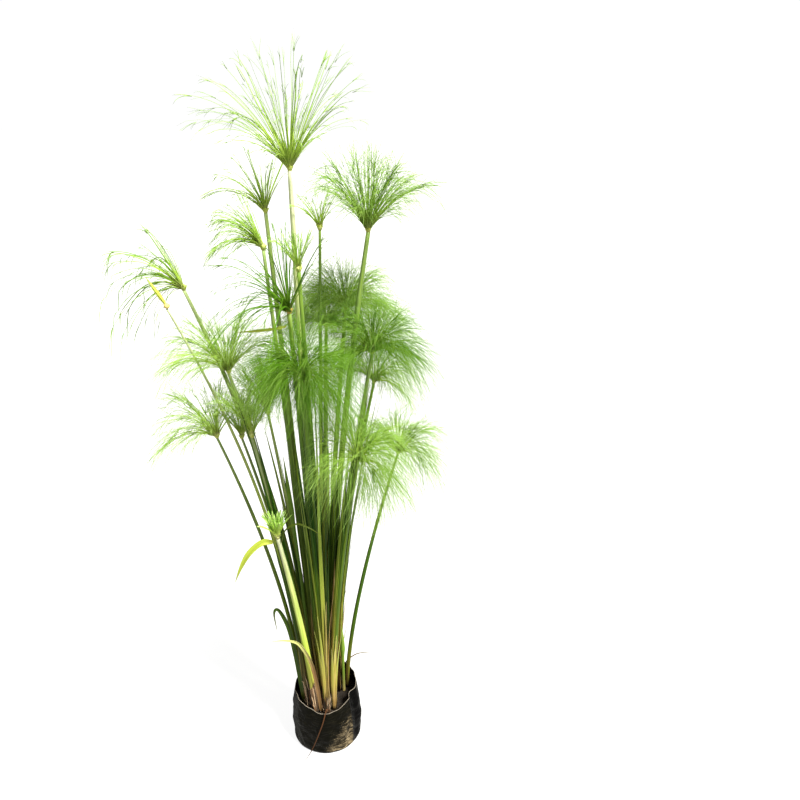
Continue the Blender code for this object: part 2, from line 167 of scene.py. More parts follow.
def dress(tree, skin, colour, roughness, gloss=None):
    """Links a skin's colour and roughness, and sets how strongly it mirrors if that isn't the usual 0.5."""
    tree.links.new(colour, skin.inputs["Base Color"])
    tree.links.new(roughness, skin.inputs["Roughness"])
    if gloss is not None:
        skin.inputs["Specular IOR Level"].default_value = gloss


# The surround looks pure white behind the plant, and lights it less than half as much.
tree = world.node_tree
seen = node(tree, "LightPath").outputs["Is Camera Ray"]
tree.nodes["Background"].inputs["Color"].default_value = (1, 1, 1, 1)
tree.links.new(spread(tree, seen, 0.0, 1.0, FILL, SURROUND), tree.nodes["Background"].inputs["Strength"])
print("node helpers ready")

# %% Floor
FLOOR_REACH = 60.0
FLOOR_GLOW = 0.88

floor_material, tree, skin = start_material("pale_floor")
floor_speck = node(tree, "TexNoise", {"Scale": 3.0, "Detail": 3.0}).outputs["Fac"]
seen = node(tree, "LightPath").outputs["Is Camera Ray"]
tree.links.new(spread(tree, seen, 0.0, 1.0, 0.0, FLOOR_GLOW), skin.inputs["Emission Strength"])
tree.links.new(mixed(tree, floor_speck, (0.24, 0.24, 0.235), (0.27, 0.27, 0.265)), skin.inputs["Base Color"])
skin.inputs["Roughness"].default_value = 0.9
skin.inputs["Emission Color"].default_value = (1, 1, 1, 1)
floor_mesh = bpy.data.meshes.new("floor")
floor_corners = FLOOR_REACH * np.array([[-1, -1, 0], [1, -1, 0], [1, 1, 0], [-1, 1, 0]])
floor_mesh.from_pydata(floor_corners.tolist(), [], [(0, 1, 2, 3)])
floor_mesh.materials.append(floor_material)
floor = bpy.data.objects.new("floor", floor_mesh)
bpy.context.scene.collection.objects.link(floor)
print("floor", 2 * FLOOR_REACH, "m square")

# %% [markdown]
# ## Two ways to make a surface
# Almost everything on a sedge is a closed ring carried along a path: a stem, a ray, a leaf, even the bag.
# Each could be a curve object with a bevel, but thousands of them would be slow to make and all perfectly
# round. So two functions do all the work. One makes hundreds of thin tubes at once, from an array of paths.
# The other closes a stack of rings of any shape with a point at each end. Each point also keeps four things
# for the materials: how far along its piece it is, a tint of its own, its place in the grain, round and along
# the piece in metres, and how far it has dried to husk.

# %% Patches of surface


class Patch(NamedTuple):
    """Points, faces of four and of three corners, and what the materials read at each point."""

    points: np.ndarray
    quads: np.ndarray
    tris: np.ndarray
    along: np.ndarray
    tint: np.ndarray
    grain: np.ndarray
    husk: np.ndarray


def unit(vectors):
    """Vectors of length 1 in the same directions."""
    return vectors / np.maximum(np.linalg.norm(vectors, axis=-1, keepdims=True), 1e-12)


def turns(sides):
    """Angles once round, one for each side."""
    return np.arange(sides) * 2 * np.pi / sides


def level(wide, angle):
    """A level step of length wide in the direction of an angle: wide (cos a, sin a, 0)."""
    return np.stack([wide * np.cos(angle), wide * np.sin(angle), 0 * wide * angle], -1)


def tube_faces(rows, sides):
    """Corners of the quads between rows of rings, and of the triangles from the last ring to a point."""
    row, turn = np.meshgrid(np.arange(rows - 1), np.arange(sides), indexing="ij")
    after = (turn + 1) % sides
    low, high = row * sides, (row + 1) * sides
    quads = np.stack([low + turn, low + after, high + after, high + turn], -1)
    turn = np.arange(sides)
    last = (rows - 1) * sides
    tip = np.stack([last + turn, last + (turn + 1) % sides, np.full(sides, rows * sides)], -1)
    return quads.reshape(-1, 4), tip


def tubes(paths, radii, sides, along, tint, husk=0.0, flat=1.0, wide_way=None):
    """One tube for each path: ring = centre + radius (flat cos a one side vector + sin a the other).

    Both side vectors stay square to the path, the first ring is closed flat, and the last station is a point.
    A flat below 1 makes blades of them, which are widest in the direction wide_way.
    """
    count, stations = radii.shape
    forward = unit(np.gradient(paths, axis=1))
    lean = forward.mean(axis=1)
    helper = np.where(np.abs(lean[:, 2:]) < 0.9, [[0.0, 0.0, 1.0]], [[1.0, 0.0, 0.0]])
    across = (np.cross(lean, helper) if wide_way is None else wide_way)[:, None]
    across = unit(across - (across * forward).sum(2, keepdims=True) * forward)
    outward = np.cross(across, forward)
    angle = turns(sides)
    angle_column = angle[:, None]
    rim = flat * np.cos(angle_column) * outward[:, :-1, None] + np.sin(angle_column) * across[:, :-1, None]
    rings = paths[:, :-1, None] + radii[:, :-1, None, None] * rim
    points = np.concatenate([rings.reshape(count, -1, 3), paths[:, -1:]], axis=1)
    quads, tip = tube_faces(stations - 1, sides)
    fan = np.arange(1, sides - 1)
    tris = np.concatenate([tip, np.stack([np.zeros_like(fan), fan + 1, fan], -1)])
    first = np.arange(count)[:, None, None] * points.shape[1]

    def each(values):
        return np.concatenate([np.repeat(values[:, :-1], sides, axis=1), values[:, -1:]], axis=1).ravel()

    length = np.linalg.norm(np.diff(paths, axis=1), axis=2).sum(1)
    share = np.broadcast_to(np.linspace(0, 1, stations), radii.shape)
    turned = np.broadcast_to(np.append(np.tile(angle, stations - 1), 0), (count, points.shape[1])).ravel()
    wide = each(radii)
    grain = np.column_stack([wide * np.cos(turned), wide * np.sin(turned), each(share * length[:, None])])
    return Patch(
        points.reshape(-1, 3), (quads + first).reshape(-1, 4), (tris + first).reshape(-1, 3), each(along),
        np.repeat(np.broadcast_to(tint, count), points.shape[1]), grain,
        np.repeat(np.broadcast_to(husk, count), points.shape[1]).astype(float),
    )


def closed_rings(rings, start, end, along, tint, husk=0.0):
    """A stack of rings of any shape, each anticlockwise, closed with a point at its start and its end."""
    rows, sides = rings.shape[:2]
    points = np.concatenate([rings.reshape(-1, 3), [end], [start]])
    quads, tip = tube_faces(rows, sides)
    turn = np.arange(sides)
    root = np.stack([np.full(sides, rows * sides + 1), (turn + 1) % sides, turn], -1)
    centre = rings.mean(axis=1, keepdims=True)
    climb = np.concatenate([[0], np.linalg.norm(np.diff(centre[:, 0], axis=0), axis=1).cumsum()])
    wide = np.linalg.norm(rings - centre, axis=2)
    grain = level(wide, turns(sides)) + climb[:, None, None] * [0, 0, 1]
    ends = np.array([[0, 0, climb[-1]], [0, 0, 0]])
    along = np.append(np.broadcast_to(np.asarray(along).reshape(rows, -1), (rows, sides)).ravel(), [0, 0])
    along[-2:] = along[-3], along[0]
    return Patch(
        points, quads, np.concatenate([tip, root]), along, np.full(len(points), tint),
        np.concatenate([grain.reshape(-1, 3), ends]), np.full(len(points), husk),
    )


def joined(*patches):
    """Several patches as one, with the corners of each counted on from the patch before."""
    first = np.cumsum([0] + [len(p.points) for p in patches[:-1]])
    return Patch(
        np.concatenate([p.points for p in patches]),
        np.concatenate([p.quads + k for p, k in zip(patches, first)]),
        np.concatenate([p.tris + k for p, k in zip(patches, first)]),
        *(np.concatenate(values) for values in zip(*(p[3:] for p in patches))),
    )


def make_piece(name, patch, material, slot, *nodes):
    """Puts a patch into a mesh object, dresses it, hangs it on the root body and hides the plain solids it
    stands for.
    """
    mesh = bpy.data.meshes.new(name)
    mesh.vertices.add(len(patch.points))
    mesh.vertices.foreach_set("co", patch.points.astype(np.float32).ravel())
    sizes = np.repeat([4, 3], [len(patch.quads), len(patch.tris)])
    corners = np.concatenate([patch.quads.ravel(), patch.tris.ravel()])
    mesh.loops.add(len(corners))
    mesh.loops.foreach_set("vertex_index", corners.astype(np.int32))
    mesh.polygons.add(len(sizes))
    mesh.polygons.foreach_set("loop_start", np.concatenate([[0], np.cumsum(sizes)[:-1]]).astype(np.int32))
    mesh.polygons.foreach_set("use_smooth", np.ones(len(sizes), bool))
    for label in ("along", "tint", "husk"):
        kept = mesh.attributes.new(label, "FLOAT", "POINT")
        kept.data.foreach_set("value", getattr(patch, label).astype(np.float32))
    grain = mesh.attributes.new("grain", "FLOAT_VECTOR", "POINT")
    grain.data.foreach_set("vector", patch.grain.astype(np.float32).ravel())
    mesh.update(calc_edges=True)
    mesh.materials.append(material)
    made = bpy.data.objects.new(name, mesh)
    bpy.context.scene.collection.objects.link(made)
    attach(made, "root")
    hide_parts(*nodes)
    return made


def triangle_count(patch):
    """How many triangles a patch comes to."""
    return 2 * len(patch.quads) + len(patch.tris)


print("surface makers ready")

# %% [markdown]
# ## Lumps and waves for surfaces that grew
# Nothing here is quite even. A lattice of random numbers, blended smoothly between its corners, gives soft
# lumps of any size, and the same seed gives the same lumps each time.

# %% Lumps
LATTICE_NUMBERS = 4096
LATTICE_STRIDES = np.array([73, 1237, 2659])  # from a corner to the next in x, y and z, in the table


def lumps(places, size, seed):
    """Smooth noise from -1 to 1: random numbers at the eight lattice corners round each place, blended."""
    table = np.random.default_rng(seed).uniform(-1, 1, LATTICE_NUMBERS)
    cell = np.floor(places / size).astype(int)
    within = places / size - cell
    ease = within * within * (3 - 2 * within)
    total = np.zeros(places.shape[:-1])
    for corner in np.ndindex(2, 2, 2):
        row = (cell + corner) @ LATTICE_STRIDES % LATTICE_NUMBERS
        weight = np.prod(np.where(corner, ease, 1 - ease), axis=-1)
        total += weight * table[row]
    return total


def smooth_route(points, count):
    """count points along a Catmull-Rom curve through the given ones."""
    p = np.array(points, float)
    p = np.vstack([2 * p[0] - p[1], p, 2 * p[-1] - p[-2]])
    place = np.linspace(0, len(points) - 1, count)
    k = np.minimum(place.astype(int), len(points) - 2)
    t = (place - k)[:, None]
    a, b, c, d = p[k], p[k + 1], p[k + 2], p[k + 3]
    bend = 2 * a - 5 * b + 4 * c - d
    twist = 3 * b - a - 3 * c + d
    return b + 0.5 * ((c - a) * t + bend * t**2 + twist * t**3)


print("lumps from", lumps(np.zeros((1, 3)), 1.0, 1)[0])

# %% [markdown]
# ## What the plain model knows
# Each plain culm is a stack of level rings, so the mean of the points at one height is a point of its
# centre line. Each plain ray bundle ends in a point that three faces share, so the points met three times
# are the ray tips. Reading both from the model keeps the dressed plant exactly where the plain one stands.

# %% Read the culms and the ray tips
CULM_NAMES = sorted(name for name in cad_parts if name.startswith("culm_"))
HUB_RISE = 0.0069  # from a culm's last ring up to the middle of its hub


def node_points(name):
    """The different points of a plain solid, and how many faces meet in each."""
    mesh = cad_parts[name].data
    places = np.empty(3 * len(mesh.vertices), np.float32)
    mesh.vertices.foreach_get("co", places)
    corners = np.empty(len(mesh.loops), np.int32)
    mesh.loops.foreach_get("vertex_index", corners)
    return np.unique(np.round(places.reshape(-1, 3)[corners].astype(float), 5), axis=0, return_counts=True)


def centre_line(name):
    """The centres and mean radii of a plain culm's rings, from its foot up."""
    points, _ = node_points(name)
    heights = np.unique(np.round(points[:, 2], 3))
    rings = [points[np.abs(points[:, 2] - height) < 0.001] for height in heights]
    centres = np.array([ring.mean(axis=0) for ring in rings])
    radii = np.array([np.linalg.norm(ring - ring.mean(axis=0), axis=1).mean() for ring in rings])
    return centres, radii


def ray_tips(name):
    """The points in which a plain umbel's ray bundles end."""
    points, faces = node_points(name)
    return points[faces == 3]


lines = {name[-2:]: centre_line(name) for name in CULM_NAMES}
print(len(lines), "culms, up to", round(max(line[0][-1, 2] for line in lines.values()), 3), "m tall")

# %% [markdown]
# ## Lines in the grain
# Stems, leaves and husks all show fine lines that run their whole length. One node group makes them for
# every material: noise that is squeezed across the grain and drawn out along it, with broader blotches
# beside it.

# %% Node group for lengthwise lines
BLOTCH_SCALE = 160.0  # blotches to a metre


def grain_lines():
    """A group with two inputs, lines to a metre and stretch, that gives fine lines and broad blotches.

    Each piece's tint also shifts the noise, so that two stems never show the same lines.
    """
    group = bpy.data.node_groups.new("grain_lines", "ShaderNodeTree")
    for name, value in (("Fineness", 900.0), ("Stretch", 30.0)):
        group.interface.new_socket(name, in_out="INPUT", socket_type="NodeSocketFloat").default_value = value
    for name in ("Lines", "Blotches"):
        group.interface.new_socket(name, in_out="OUTPUT", socket_type="NodeSocketFloat")
    source = group.nodes.new("NodeGroupInput")
    result = group.nodes.new("NodeGroupOutput")
    place = attribute(group, "grain", "Vector")
    shift = combined(group, "MULTIPLY", attribute(group, "tint"), 7.3)
    slow = combined(group, "DIVIDE", 1.0, source.outputs["Stretch"])
    scale = node(group, "CombineXYZ", {"X": 1.0, "Y": 1.0, "Z": slow}).outputs[0]
    drawn = combined(group, "MULTIPLY", place, scale, "VectorMath")
    moved = combined(group, "ADD", drawn, shift, "VectorMath")
    fine = noise(group, moved, source.outputs["Fineness"], 3.0)
    broad = noise(group, moved, BLOTCH_SCALE, 2.0)
    group.links.new(spread(group, fine, 0.3, 0.7), result.inputs["Lines"])
    group.links.new(spread(group, broad, 0.32, 0.68), result.inputs["Blotches"])
    return group


GRAIN_LINES = grain_lines()


def add_lines(tree, fineness, stretch):
    """The lines and the blotches of the grain group, placed in a material."""
    made = tree.nodes.new("ShaderNodeGroup")
    made.node_tree = GRAIN_LINES
    made.inputs["Fineness"].default_value = fineness
    made.inputs["Stretch"].default_value = stretch
    return made.outputs["Lines"], made.outputs["Blotches"]


def raise_lines(tree, skin, height, strength, distance):
    """Raises the surface where height is bright."""
    bump = node(tree, "Bump", {"Height": height, "Strength": strength, "Distance": distance})
    tree.links.new(bump.outputs["Normal"], skin.inputs["Normal"])


print("group", GRAIN_LINES.name, "with", len(GRAIN_LINES.nodes), "nodes")

# %% [markdown]
# ## The culm's finish
# A culm is waxy and smooth. It is dark brown where it leaves the mix and olive or straw above that, deep
# green for most of its height, and paler yellow-green below the umbel, partly its own colour and partly
# painted sunlight on the tops. A colour painted by hand would have to be painted again for each stem, so a
# colour ramp along the culm gives it, and the tint, which differs from culm to culm, moves it towards
# yellow. The husk value turns the same skin into dry brown husk.

# %% Culm material


def make_culm_finish():
    """Green wax over fine lines: brown at the foot, then olive, green and paler; dry where husk is high.

    The paler top is partly the culm's own colour and partly painted sunlight.
    """
    material, tree, skin = start_material("culm_skin")
    fine, broad = add_lines(tree, 520.0, 34.0)
    height = attribute(tree, "along")
    # Both ramps grow paler towards the top: partly the culm's own colour, partly painted sunlight.
    green = ramp(
        tree, height,
        (0.0, (0.026, 0.011, 0.003)), (0.065, (0.115, 0.070, 0.018)), (0.14, (0.135, 0.135, 0.010)),
        (0.27, (0.030, 0.096, 0.001)), (0.45, (0.019, 0.082, 0.0005)), (0.78, (0.040, 0.140, 0.002)),
        (1.0, (0.27, 0.45, 0.05)),
    )
    yellow = ramp(
        tree, height,
        (0.0, (0.04, 0.018, 0.006)), (0.045, (0.13, 0.070, 0.020)), (0.090, (0.44, 0.31, 0.08)),
        (0.15, (0.68, 0.62, 0.12)), (0.40, (0.64, 0.80, 0.12)), (0.75, (0.80, 0.90, 0.32)),
        (1.0, (0.95, 0.97, 0.70)),
    )
    tint = attribute(tree, "tint")
    ripe = mixed(tree, tint, green, yellow)
    lined = mixed(tree, spread(tree, fine, 0.0, 1.0, 0.0, 0.60), ripe, (0.26, 0.36, 0.09), "MULTIPLY")
    patchy = spread(tree, broad, 0.60, 1.0, 0.0, 0.55)
    blotched = combined(tree, "MULTIPLY", patchy, spread(tree, tint, 0.5, 1.0, 1.0, 0.25))
    streaked = mixed(tree, blotched, lined, (0.30, 0.46, 0.03))
    dry = ramp(
        tree, fine,
        (0.0, (0.11, 0.045, 0.010)), (0.45, (0.50, 0.30, 0.075)), (1.0, (0.95, 0.74, 0.38)),
    )
    colour = mixed(tree, attribute(tree, "husk"), streaked, dry)
    dress(tree, skin, colour, spread(tree, broad, 0.0, 1.0, 0.34, 0.52), 0.18)
    raise_lines(tree, skin, fine, 0.35, 0.0004)
    return material


CULM_FINISH = make_culm_finish()
print(CULM_FINISH.name, "has", len(CULM_FINISH.node_tree.nodes), "nodes")

# %% [markdown]
# ## The culms
# A papyrus culm is a tapering rod with three soft corners. It could be a curve with a bevel, but then it
# would be round and even. Here each ring is a circle pushed out at three corners that turn slowly with
# height, so the light breaks differently on each stem. A husk, the dry sleeve left by the first leaves,
# wraps some feet and ends in a slanted, ragged mouth. Long narrow leaves rise beside the culms and clasp
# them. They fill the clump with green up to about 1 m, so they are made here, many at a time, as flattened
# tubes.

# %% Make the culms
CULM_STATIONS = 64
CULM_SIDES = 18
CORNER_PUSH = 0.07
CORNERS_APART = 1.7  # how far each culm's corners are turned from those of the culm before it, in radians
CORNER_TWIST = 0.9  # how far they turn from the foot to the top
CULM_TINTS = dict(zip(lines, (
    1.00, 0.30, 0.20, 0.45, 0.75, 0.12, 0.10, 0.14, 0.06, 0.36, 0.24, 0.38, 0.50, 0.50, 0.10, 0.26, 0.04,
    1.00, 0.06, 0.02, 0.02, 0.12,
)))
HUSK_HEIGHTS = {
    "01": 0.13, "02": 0.10, "03": 0.15, "07": 0.09, "08": 0.34, "09": 0.37, "14": 0.11, "16": 0.30,
    "22": 0.14,
}
LEAF_COUNTS = {
    "01": 11, "02": 8, "03": 11, "06": 13, "07": 20, "08": 12, "09": 17, "13": 5, "14": 6, "15": 14,
    "16": 11, "17": 24, "20": 22, "21": 14, "22": 10,
}
LEAF_STATIONS = 16
TALL_SHARE = 0.62  # share of the clasping leaves that are tall
TALL_LEAVES, OLD_LEAVES = (0.52, 0.94), (0.16, 0.48)  # their lengths: from the shortest to the longest
LEAF_HALVES = (0.0034, 0.0060)  # half the width of an old leaf, the least and the most
TALL_BREADTH = 1.4  # a tall leaf's width against an old one's
LEAF_STANDS = (0.002, 0.030)  # how far leaf tips stand off the culm, the least and the most
OLD_TINTS = (0.0, 0.15, 0.5, 0.9)
TALL_TINTS = (0.0, 0.0, 0.03, 0.08, 0.14, 0.5)
HUSK_SIDES = 28
HUSK_ROWS = 12
HUSK_DEPTH = 0.0007
HUSK_SLANT = 0.05
HUSK_RAGGED = (-0.05, 0.03)  # how far the mouth's edge strays, as a share of the height
HUSK_PLEATS, PLEAT_DEPTH = 7, 0.16  # the depth against the culm's radius
HUSK_GAPE = 0.0012


def along_culm(number, shares):
    """Centres and radii at shares of the height: a fourth-power curve through the plain culm's rings."""
    centres, radii = lines[number]
    low, high = centres[0, 2], centres[-1, 2]
    own = (centres[:, 2] - low) / (high - low)
    x, y = (np.polyval(np.polyfit(own, centres[:, k], 4), shares) for k in (0, 1))
    return np.column_stack([x, y, low + shares * (high - low)]), np.interp(shares, own, radii)


def up_culm(number, heights):
    """Centres and radii at a table of heights above the culm's foot, in metres."""
    total = lines[number][0][-1, 2] - lines[number][0][0, 2]
    centres, radii = along_culm(number, (heights / total).ravel())
    return centres.reshape(*heights.shape, 3), radii.reshape(heights.shape)


def three_cornered(centres, radii, angle, twist):
    """Level rings: radius (1 + push cos(3 (angle - twist))) round each centre."""
    push = 1 + CORNER_PUSH * np.cos(3 * (angle - twist[:, None]))
    return centres[:, None] + level(radii[:, None] * push, angle)


def husk_rings(number, tall, slant, depth, seed):
    """A sleeve up to a slanted, ragged mouth and back down inside: outer rows, then the lip, then inner rows.

    The mouth stands at tall, less a slant that is greatest opposite the way it faces, plus a ragged edge.
    The sleeve is pleated seven times round and gapes a little near its mouth.
    """
    angle = turns(HUSK_SIDES)
    rng = np.random.default_rng(seed)
    ragged = rng.uniform(*HUSK_RAGGED, HUSK_SIDES) * tall
    face = rng.uniform(0, 2 * np.pi)
    facing = np.cos(angle - face)
    mouth = tall + slant * (0.5 * facing - 0.5) + ragged
    climb = np.concatenate([np.linspace(0, 1, HUSK_ROWS), [1.0, 0.85, 0.7]])[:, None]
    layer = np.concatenate([np.full(HUSK_ROWS, 1.0), [0.35, 0.0, -0.4]])[:, None]
    centres, radii = up_culm(number, climb * mouth)
    pleats = 1 + PLEAT_DEPTH * np.cos(HUSK_PLEATS * angle + face) * climb
    gape = HUSK_GAPE * np.clip(climb - 0.8, 0, 1) * (layer > 0) * (1 + facing)
    wide = radii * (1 + CORNER_PUSH * 0.6) + depth * layer * pleats + gape
    return centres + level(wide, angle), centres[0, 0], centres[-1].mean(axis=0), climb[:, 0]


def clasping_leaves(number, order):
    """Pointed blades that rise beside a culm, flat against it, and come away from it at their tips.

    centre = the culm's + (its radius + a stand that grows with share^2.5) times the way out, never backwards.
    Tall ones are green, broader and up to 0.94 m long; old ones are short and partly dry.
    """
    rng = np.random.default_rng(300 + order)
    many = LEAF_COUNTS[number]
    share = np.linspace(0, 1, LEAF_STATIONS)
    old = rng.random(many) >= TALL_SHARE
    length = np.where(~old, rng.uniform(*TALL_LEAVES, many), rng.uniform(*OLD_LEAVES, many))
    out = level(np.ones(many), -np.pi / 2 + rng.uniform(-1.5, 1.5, many))
    centres, radii = up_culm(number, length[:, None] * share)
    stand = radii + 0.0008 + rng.uniform(*LEAF_STANDS, (many, 1)) * share**2.5
    paths = centres + stand[..., None] * out[:, None]
    swell = np.minimum(1, 1.6 * (1 - share) ** 0.7) * (0.6 + 0.4 * np.sin(np.pi * share))
    half = (rng.uniform(*LEAF_HALVES, many) * np.where(old, 1.0, TALL_BREADTH))[:, None] * swell
    tints = np.where(old, rng.choice(OLD_TINTS, many), rng.choice(TALL_TINTS, many))
    along = np.broadcast_to(0.66 * share**1.3, (many, LEAF_STATIONS))
    husk = np.where(old, rng.uniform(0.2, 0.9, many), 0.0)
    return tubes(paths, half, 8, along, tints, husk, 0.16, np.cross(out, [0, 0, 1]))


def make_culm(number, order):
    """The stem, the leaves that clasp it, and the husk round its foot if it has kept one."""
    shares = np.linspace(0, 1, CULM_STATIONS)
    centres, radii = along_culm(number, shares)
    twist = order * CORNERS_APART + CORNER_TWIST * shares
    wave = 1 + 0.02 * lumps(centres * [0, 0, 1], 0.06, order)
    rings = three_cornered(centres, radii * wave, turns(CULM_SIDES), twist)
    cap = centres[-1] + [0, 0, 0.002]
    stem = closed_rings(rings, centres[0], cap, shares, CULM_TINTS[number])
    if number in LEAF_COUNTS:
        stem = joined(stem, clasping_leaves(number, order))
    if number not in HUSK_HEIGHTS:
        return stem
    rings, start, end, climb = husk_rings(number, HUSK_HEIGHTS[number], HUSK_SLANT, HUSK_DEPTH, 100 + order)
    dryness = 0.9 - 0.25 * (order % 3)
    return joined(stem, closed_rings(rings, start, end, 0.05 * climb, CULM_TINTS[number], dryness))


culm_triangles = 0
for order, number in enumerate(lines):
    patch = make_culm(number, order)
    make_piece("stem_" + number, patch, CULM_FINISH, "culm", "culm_" + number)
    culm_triangles += triangle_count(patch)
print(len(lines), "culms,", culm_triangles, "triangles")

# %% [markdown]
# ## The rays' finish
# A ray is pale where it leaves the hub, green along its length and lighter again in the threads at its end.
# A ramp along it gives that too. The tint is each ray's own, so that neighbours differ a little, as a real
# mop's do in the light. The husk value is high only at dry hubs and bracts, which turn orange-brown.

# %% Ray material


def make_ray_finish():
    """Satin green from a pale hub to paler thread tips, and orange-brown where husk is high."""
    material, tree, skin = start_material("ray_skin")
    _, broad = add_lines(tree, 600.0, 20.0)
    reach = attribute(tree, "along")
    green = ramp(
        tree, reach,
        (0.0, (0.30, 0.40, 0.07)), (0.06, (0.12, 0.25, 0.012)), (0.30, (0.065, 0.195, 0.003)),
        (0.65, (0.095, 0.26, 0.006)), (1.0, (0.18, 0.37, 0.030)),
    )
    yellow = ramp(
        tree, reach,
        (0.0, (0.88, 0.88, 0.38)), (0.10, (0.62, 0.80, 0.14)), (0.45, (0.52, 0.80, 0.11)),
        (1.0, (0.58, 0.84, 0.26)),
    )
    ripe = mixed(tree, attribute(tree, "tint"), green, yellow)
    mottled = mixed(tree, spread(tree, broad, 0.3, 1.0, 0.0, 0.4), ripe, (0.62, 0.72, 0.40), "MULTIPLY")
    dry = ramp(tree, reach, (0.0, (0.86, 0.55, 0.18)), (0.5, (0.85, 0.50, 0.08)), (1.0, (0.55, 0.42, 0.08)))
    colour = mixed(tree, attribute(tree, "husk"), mottled, dry)
    dress(tree, skin, colour, spread(tree, broad, 0.0, 1.0, 0.45, 0.65), 0.16)
    return material


RAY_FINISH = make_ray_finish()
print(RAY_FINISH.name, "has", len(RAY_FINISH.node_tree.nodes), "nodes")

# %% [markdown]
# ## The umbels
# An umbel is a hub with fifty to five hundred rays. Each ray rises, arches over and forks into two, three
# or four threads at its end. Particle hair could make them, but hair has no surface of its own to keep. So
# all rays of one umbel are made as one array of paths. They fill the cone of the plain model's ray tips
# evenly, and take their length from the tips near them. A few bolder ones keep close to one tip, which
# gives the bundles of a young umbel. The young umbel lowest on the left has flat rays without threads. One
# umbel is still shut: a bud of bracts.

# %% How each umbel grows


class Growth(NamedTuple):
    """One umbel's habit."""

    rays: int
    bunch: float  # share of the rays that keep close to a guide, one of the plain model's ray tips
    fork: float  # share of its length where a ray forks
    threads: int  # threads at each fork
    curl: float  # how far the threads hang, as a share of the ray's length
    tint: float  # 0 is deep green, 1 is yellow
    pale: float = 0.0  # how dry the hub and its bracts are
    thick: float = 1.0  # ray thickness against the usual
    short: float = 0.66  # the shortest ray against the guides
    stretch: float = 1.0  # length of all its rays against the guides


# Mops 10, 11, 12 and 20 have tints raised partly to lighten them in the shade they stand in: painted light.
GROWTHS = {
    "01": Growth(150, 0.13, 0.84, 2, 0.035, 0.66, 0.0, 1.25, 0.22, 1.08),
    "02": Growth(86, 0.18, 0.84, 2, 0.06, 0.80, 0.0, 1.1, 0.30, 1.05),
    "03": Growth(125, 0.15, 0.76, 2, 0.12, 0.60, 0.0, 1.05, 0.40),
    "04": Growth(52, 0.25, 0.84, 2, 0.26, 0.36, 0.0, 1.45, 0.50),
    "05": Growth(7, 0.00, 1.00, 0, 0.00, 0.95, 0.6, 3.6),
    "06": Growth(84, 0.20, 0.90, 2, 0.04, 0.06, 0.7, 1.5, 0.60),
    "07": Growth(54, 0.22, 0.72, 2, 0.06, 0.84, 0.0, 1.1, 0.40, 1.05),
    "08": Growth(290, 0.10, 0.60, 3, 0.16, 0.44, 0.1, 0.9, 0.40),
    "09": Growth(80, 0.20, 0.58, 2, 0.12, 0.80, 0.0, 0.9, 0.45),
    "10": Growth(270, 0.08, 0.55, 3, 0.22, 0.74, 0.0, 0.80, 0.45),
    "11": Growth(180, 0.12, 0.56, 3, 0.18, 0.74, 0.0, 0.85, 0.40),
    "12": Growth(130, 0.20, 0.58, 3, 0.14, 0.80, 0.0, 0.9, 0.40),
    "13": Growth(100, 0.20, 0.48, 3, 0.14, 0.90, 0.0, 0.9, 0.45),
    "14": Growth(180, 0.12, 0.50, 3, 0.16, 0.86, 0.0, 0.9, 0.45),
    "15": Growth(500, 0.03, 0.48, 4, 0.26, 0.08, 0.0, 0.8, 0.50),
    "16": Growth(460, 0.03, 0.48, 4, 0.26, 0.16, 0.4, 0.8, 0.50),
    "17": Growth(440, 0.03, 0.48, 4, 0.26, 0.44, 0.0, 0.8, 0.50),
    "18": Growth(80, 0.30, 1.00, 0, 0.00, 1.00, 0.0, 2.8),
    "19": Growth(240, 0.08, 0.50, 4, 0.24, 0.50, 0.0, 0.8, 0.55),
    "20": Growth(400, 0.04, 0.48, 4, 0.26, 0.50, 0.0, 0.8, 0.50),
    "21": Growth(230, 0.08, 0.50, 4, 0.24, 0.50, 0.0, 0.8, 0.55),
    "22": Growth(330, 0.08, 0.48, 4, 0.30, 0.48, 0.0, 0.8, 0.55),
}
print(sum(g.rays for g in GROWTHS.values()), "rays in all")

# %% Paths of rays
GOLDEN_ANGLE = np.pi * (3 - np.sqrt(5))
GUIDE_FOCUS = 14.0
RAY_ARCH = 0.22
BOLD = 1.7  # thickness of a bunched ray against the others
PULL = (0.9, 0.3)  # how far a ray turns to its guide: bunched rays, and the others
STRAY = (0.02, 0.10)  # how far it strays at random, in the same order
HUB_RADIUS = 0.0065
REACH_OVER = (0.014, 0.014, 0.042)  # how far tips may pass the plain umbel's box, in metres


def arched(start, tip, shares):
    """Points from start to tip: straight, plus 4 s (1 - s) times the arch, which upright rays lack."""
    run = tip - start
    reach = np.linalg.norm(run, axis=1, keepdims=True)
    rise = RAY_ARCH * reach * (1 - np.clip(run[:, 2:] / reach, 0, 1) ** 2)
    s = shares[:, :, None]
    return start[:, None] + s * run[:, None] + 4 * s * (1 - s) * rise[:, None] * np.array([0, 0, 1.0])


def held(places, name):
    """Places kept within the plain umbel's box, let out a finger's width all round and more above."""
    low, high = (np.array(corner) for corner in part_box(name))
    return np.clip(places, low - REACH_OVER[0], high + REACH_OVER)


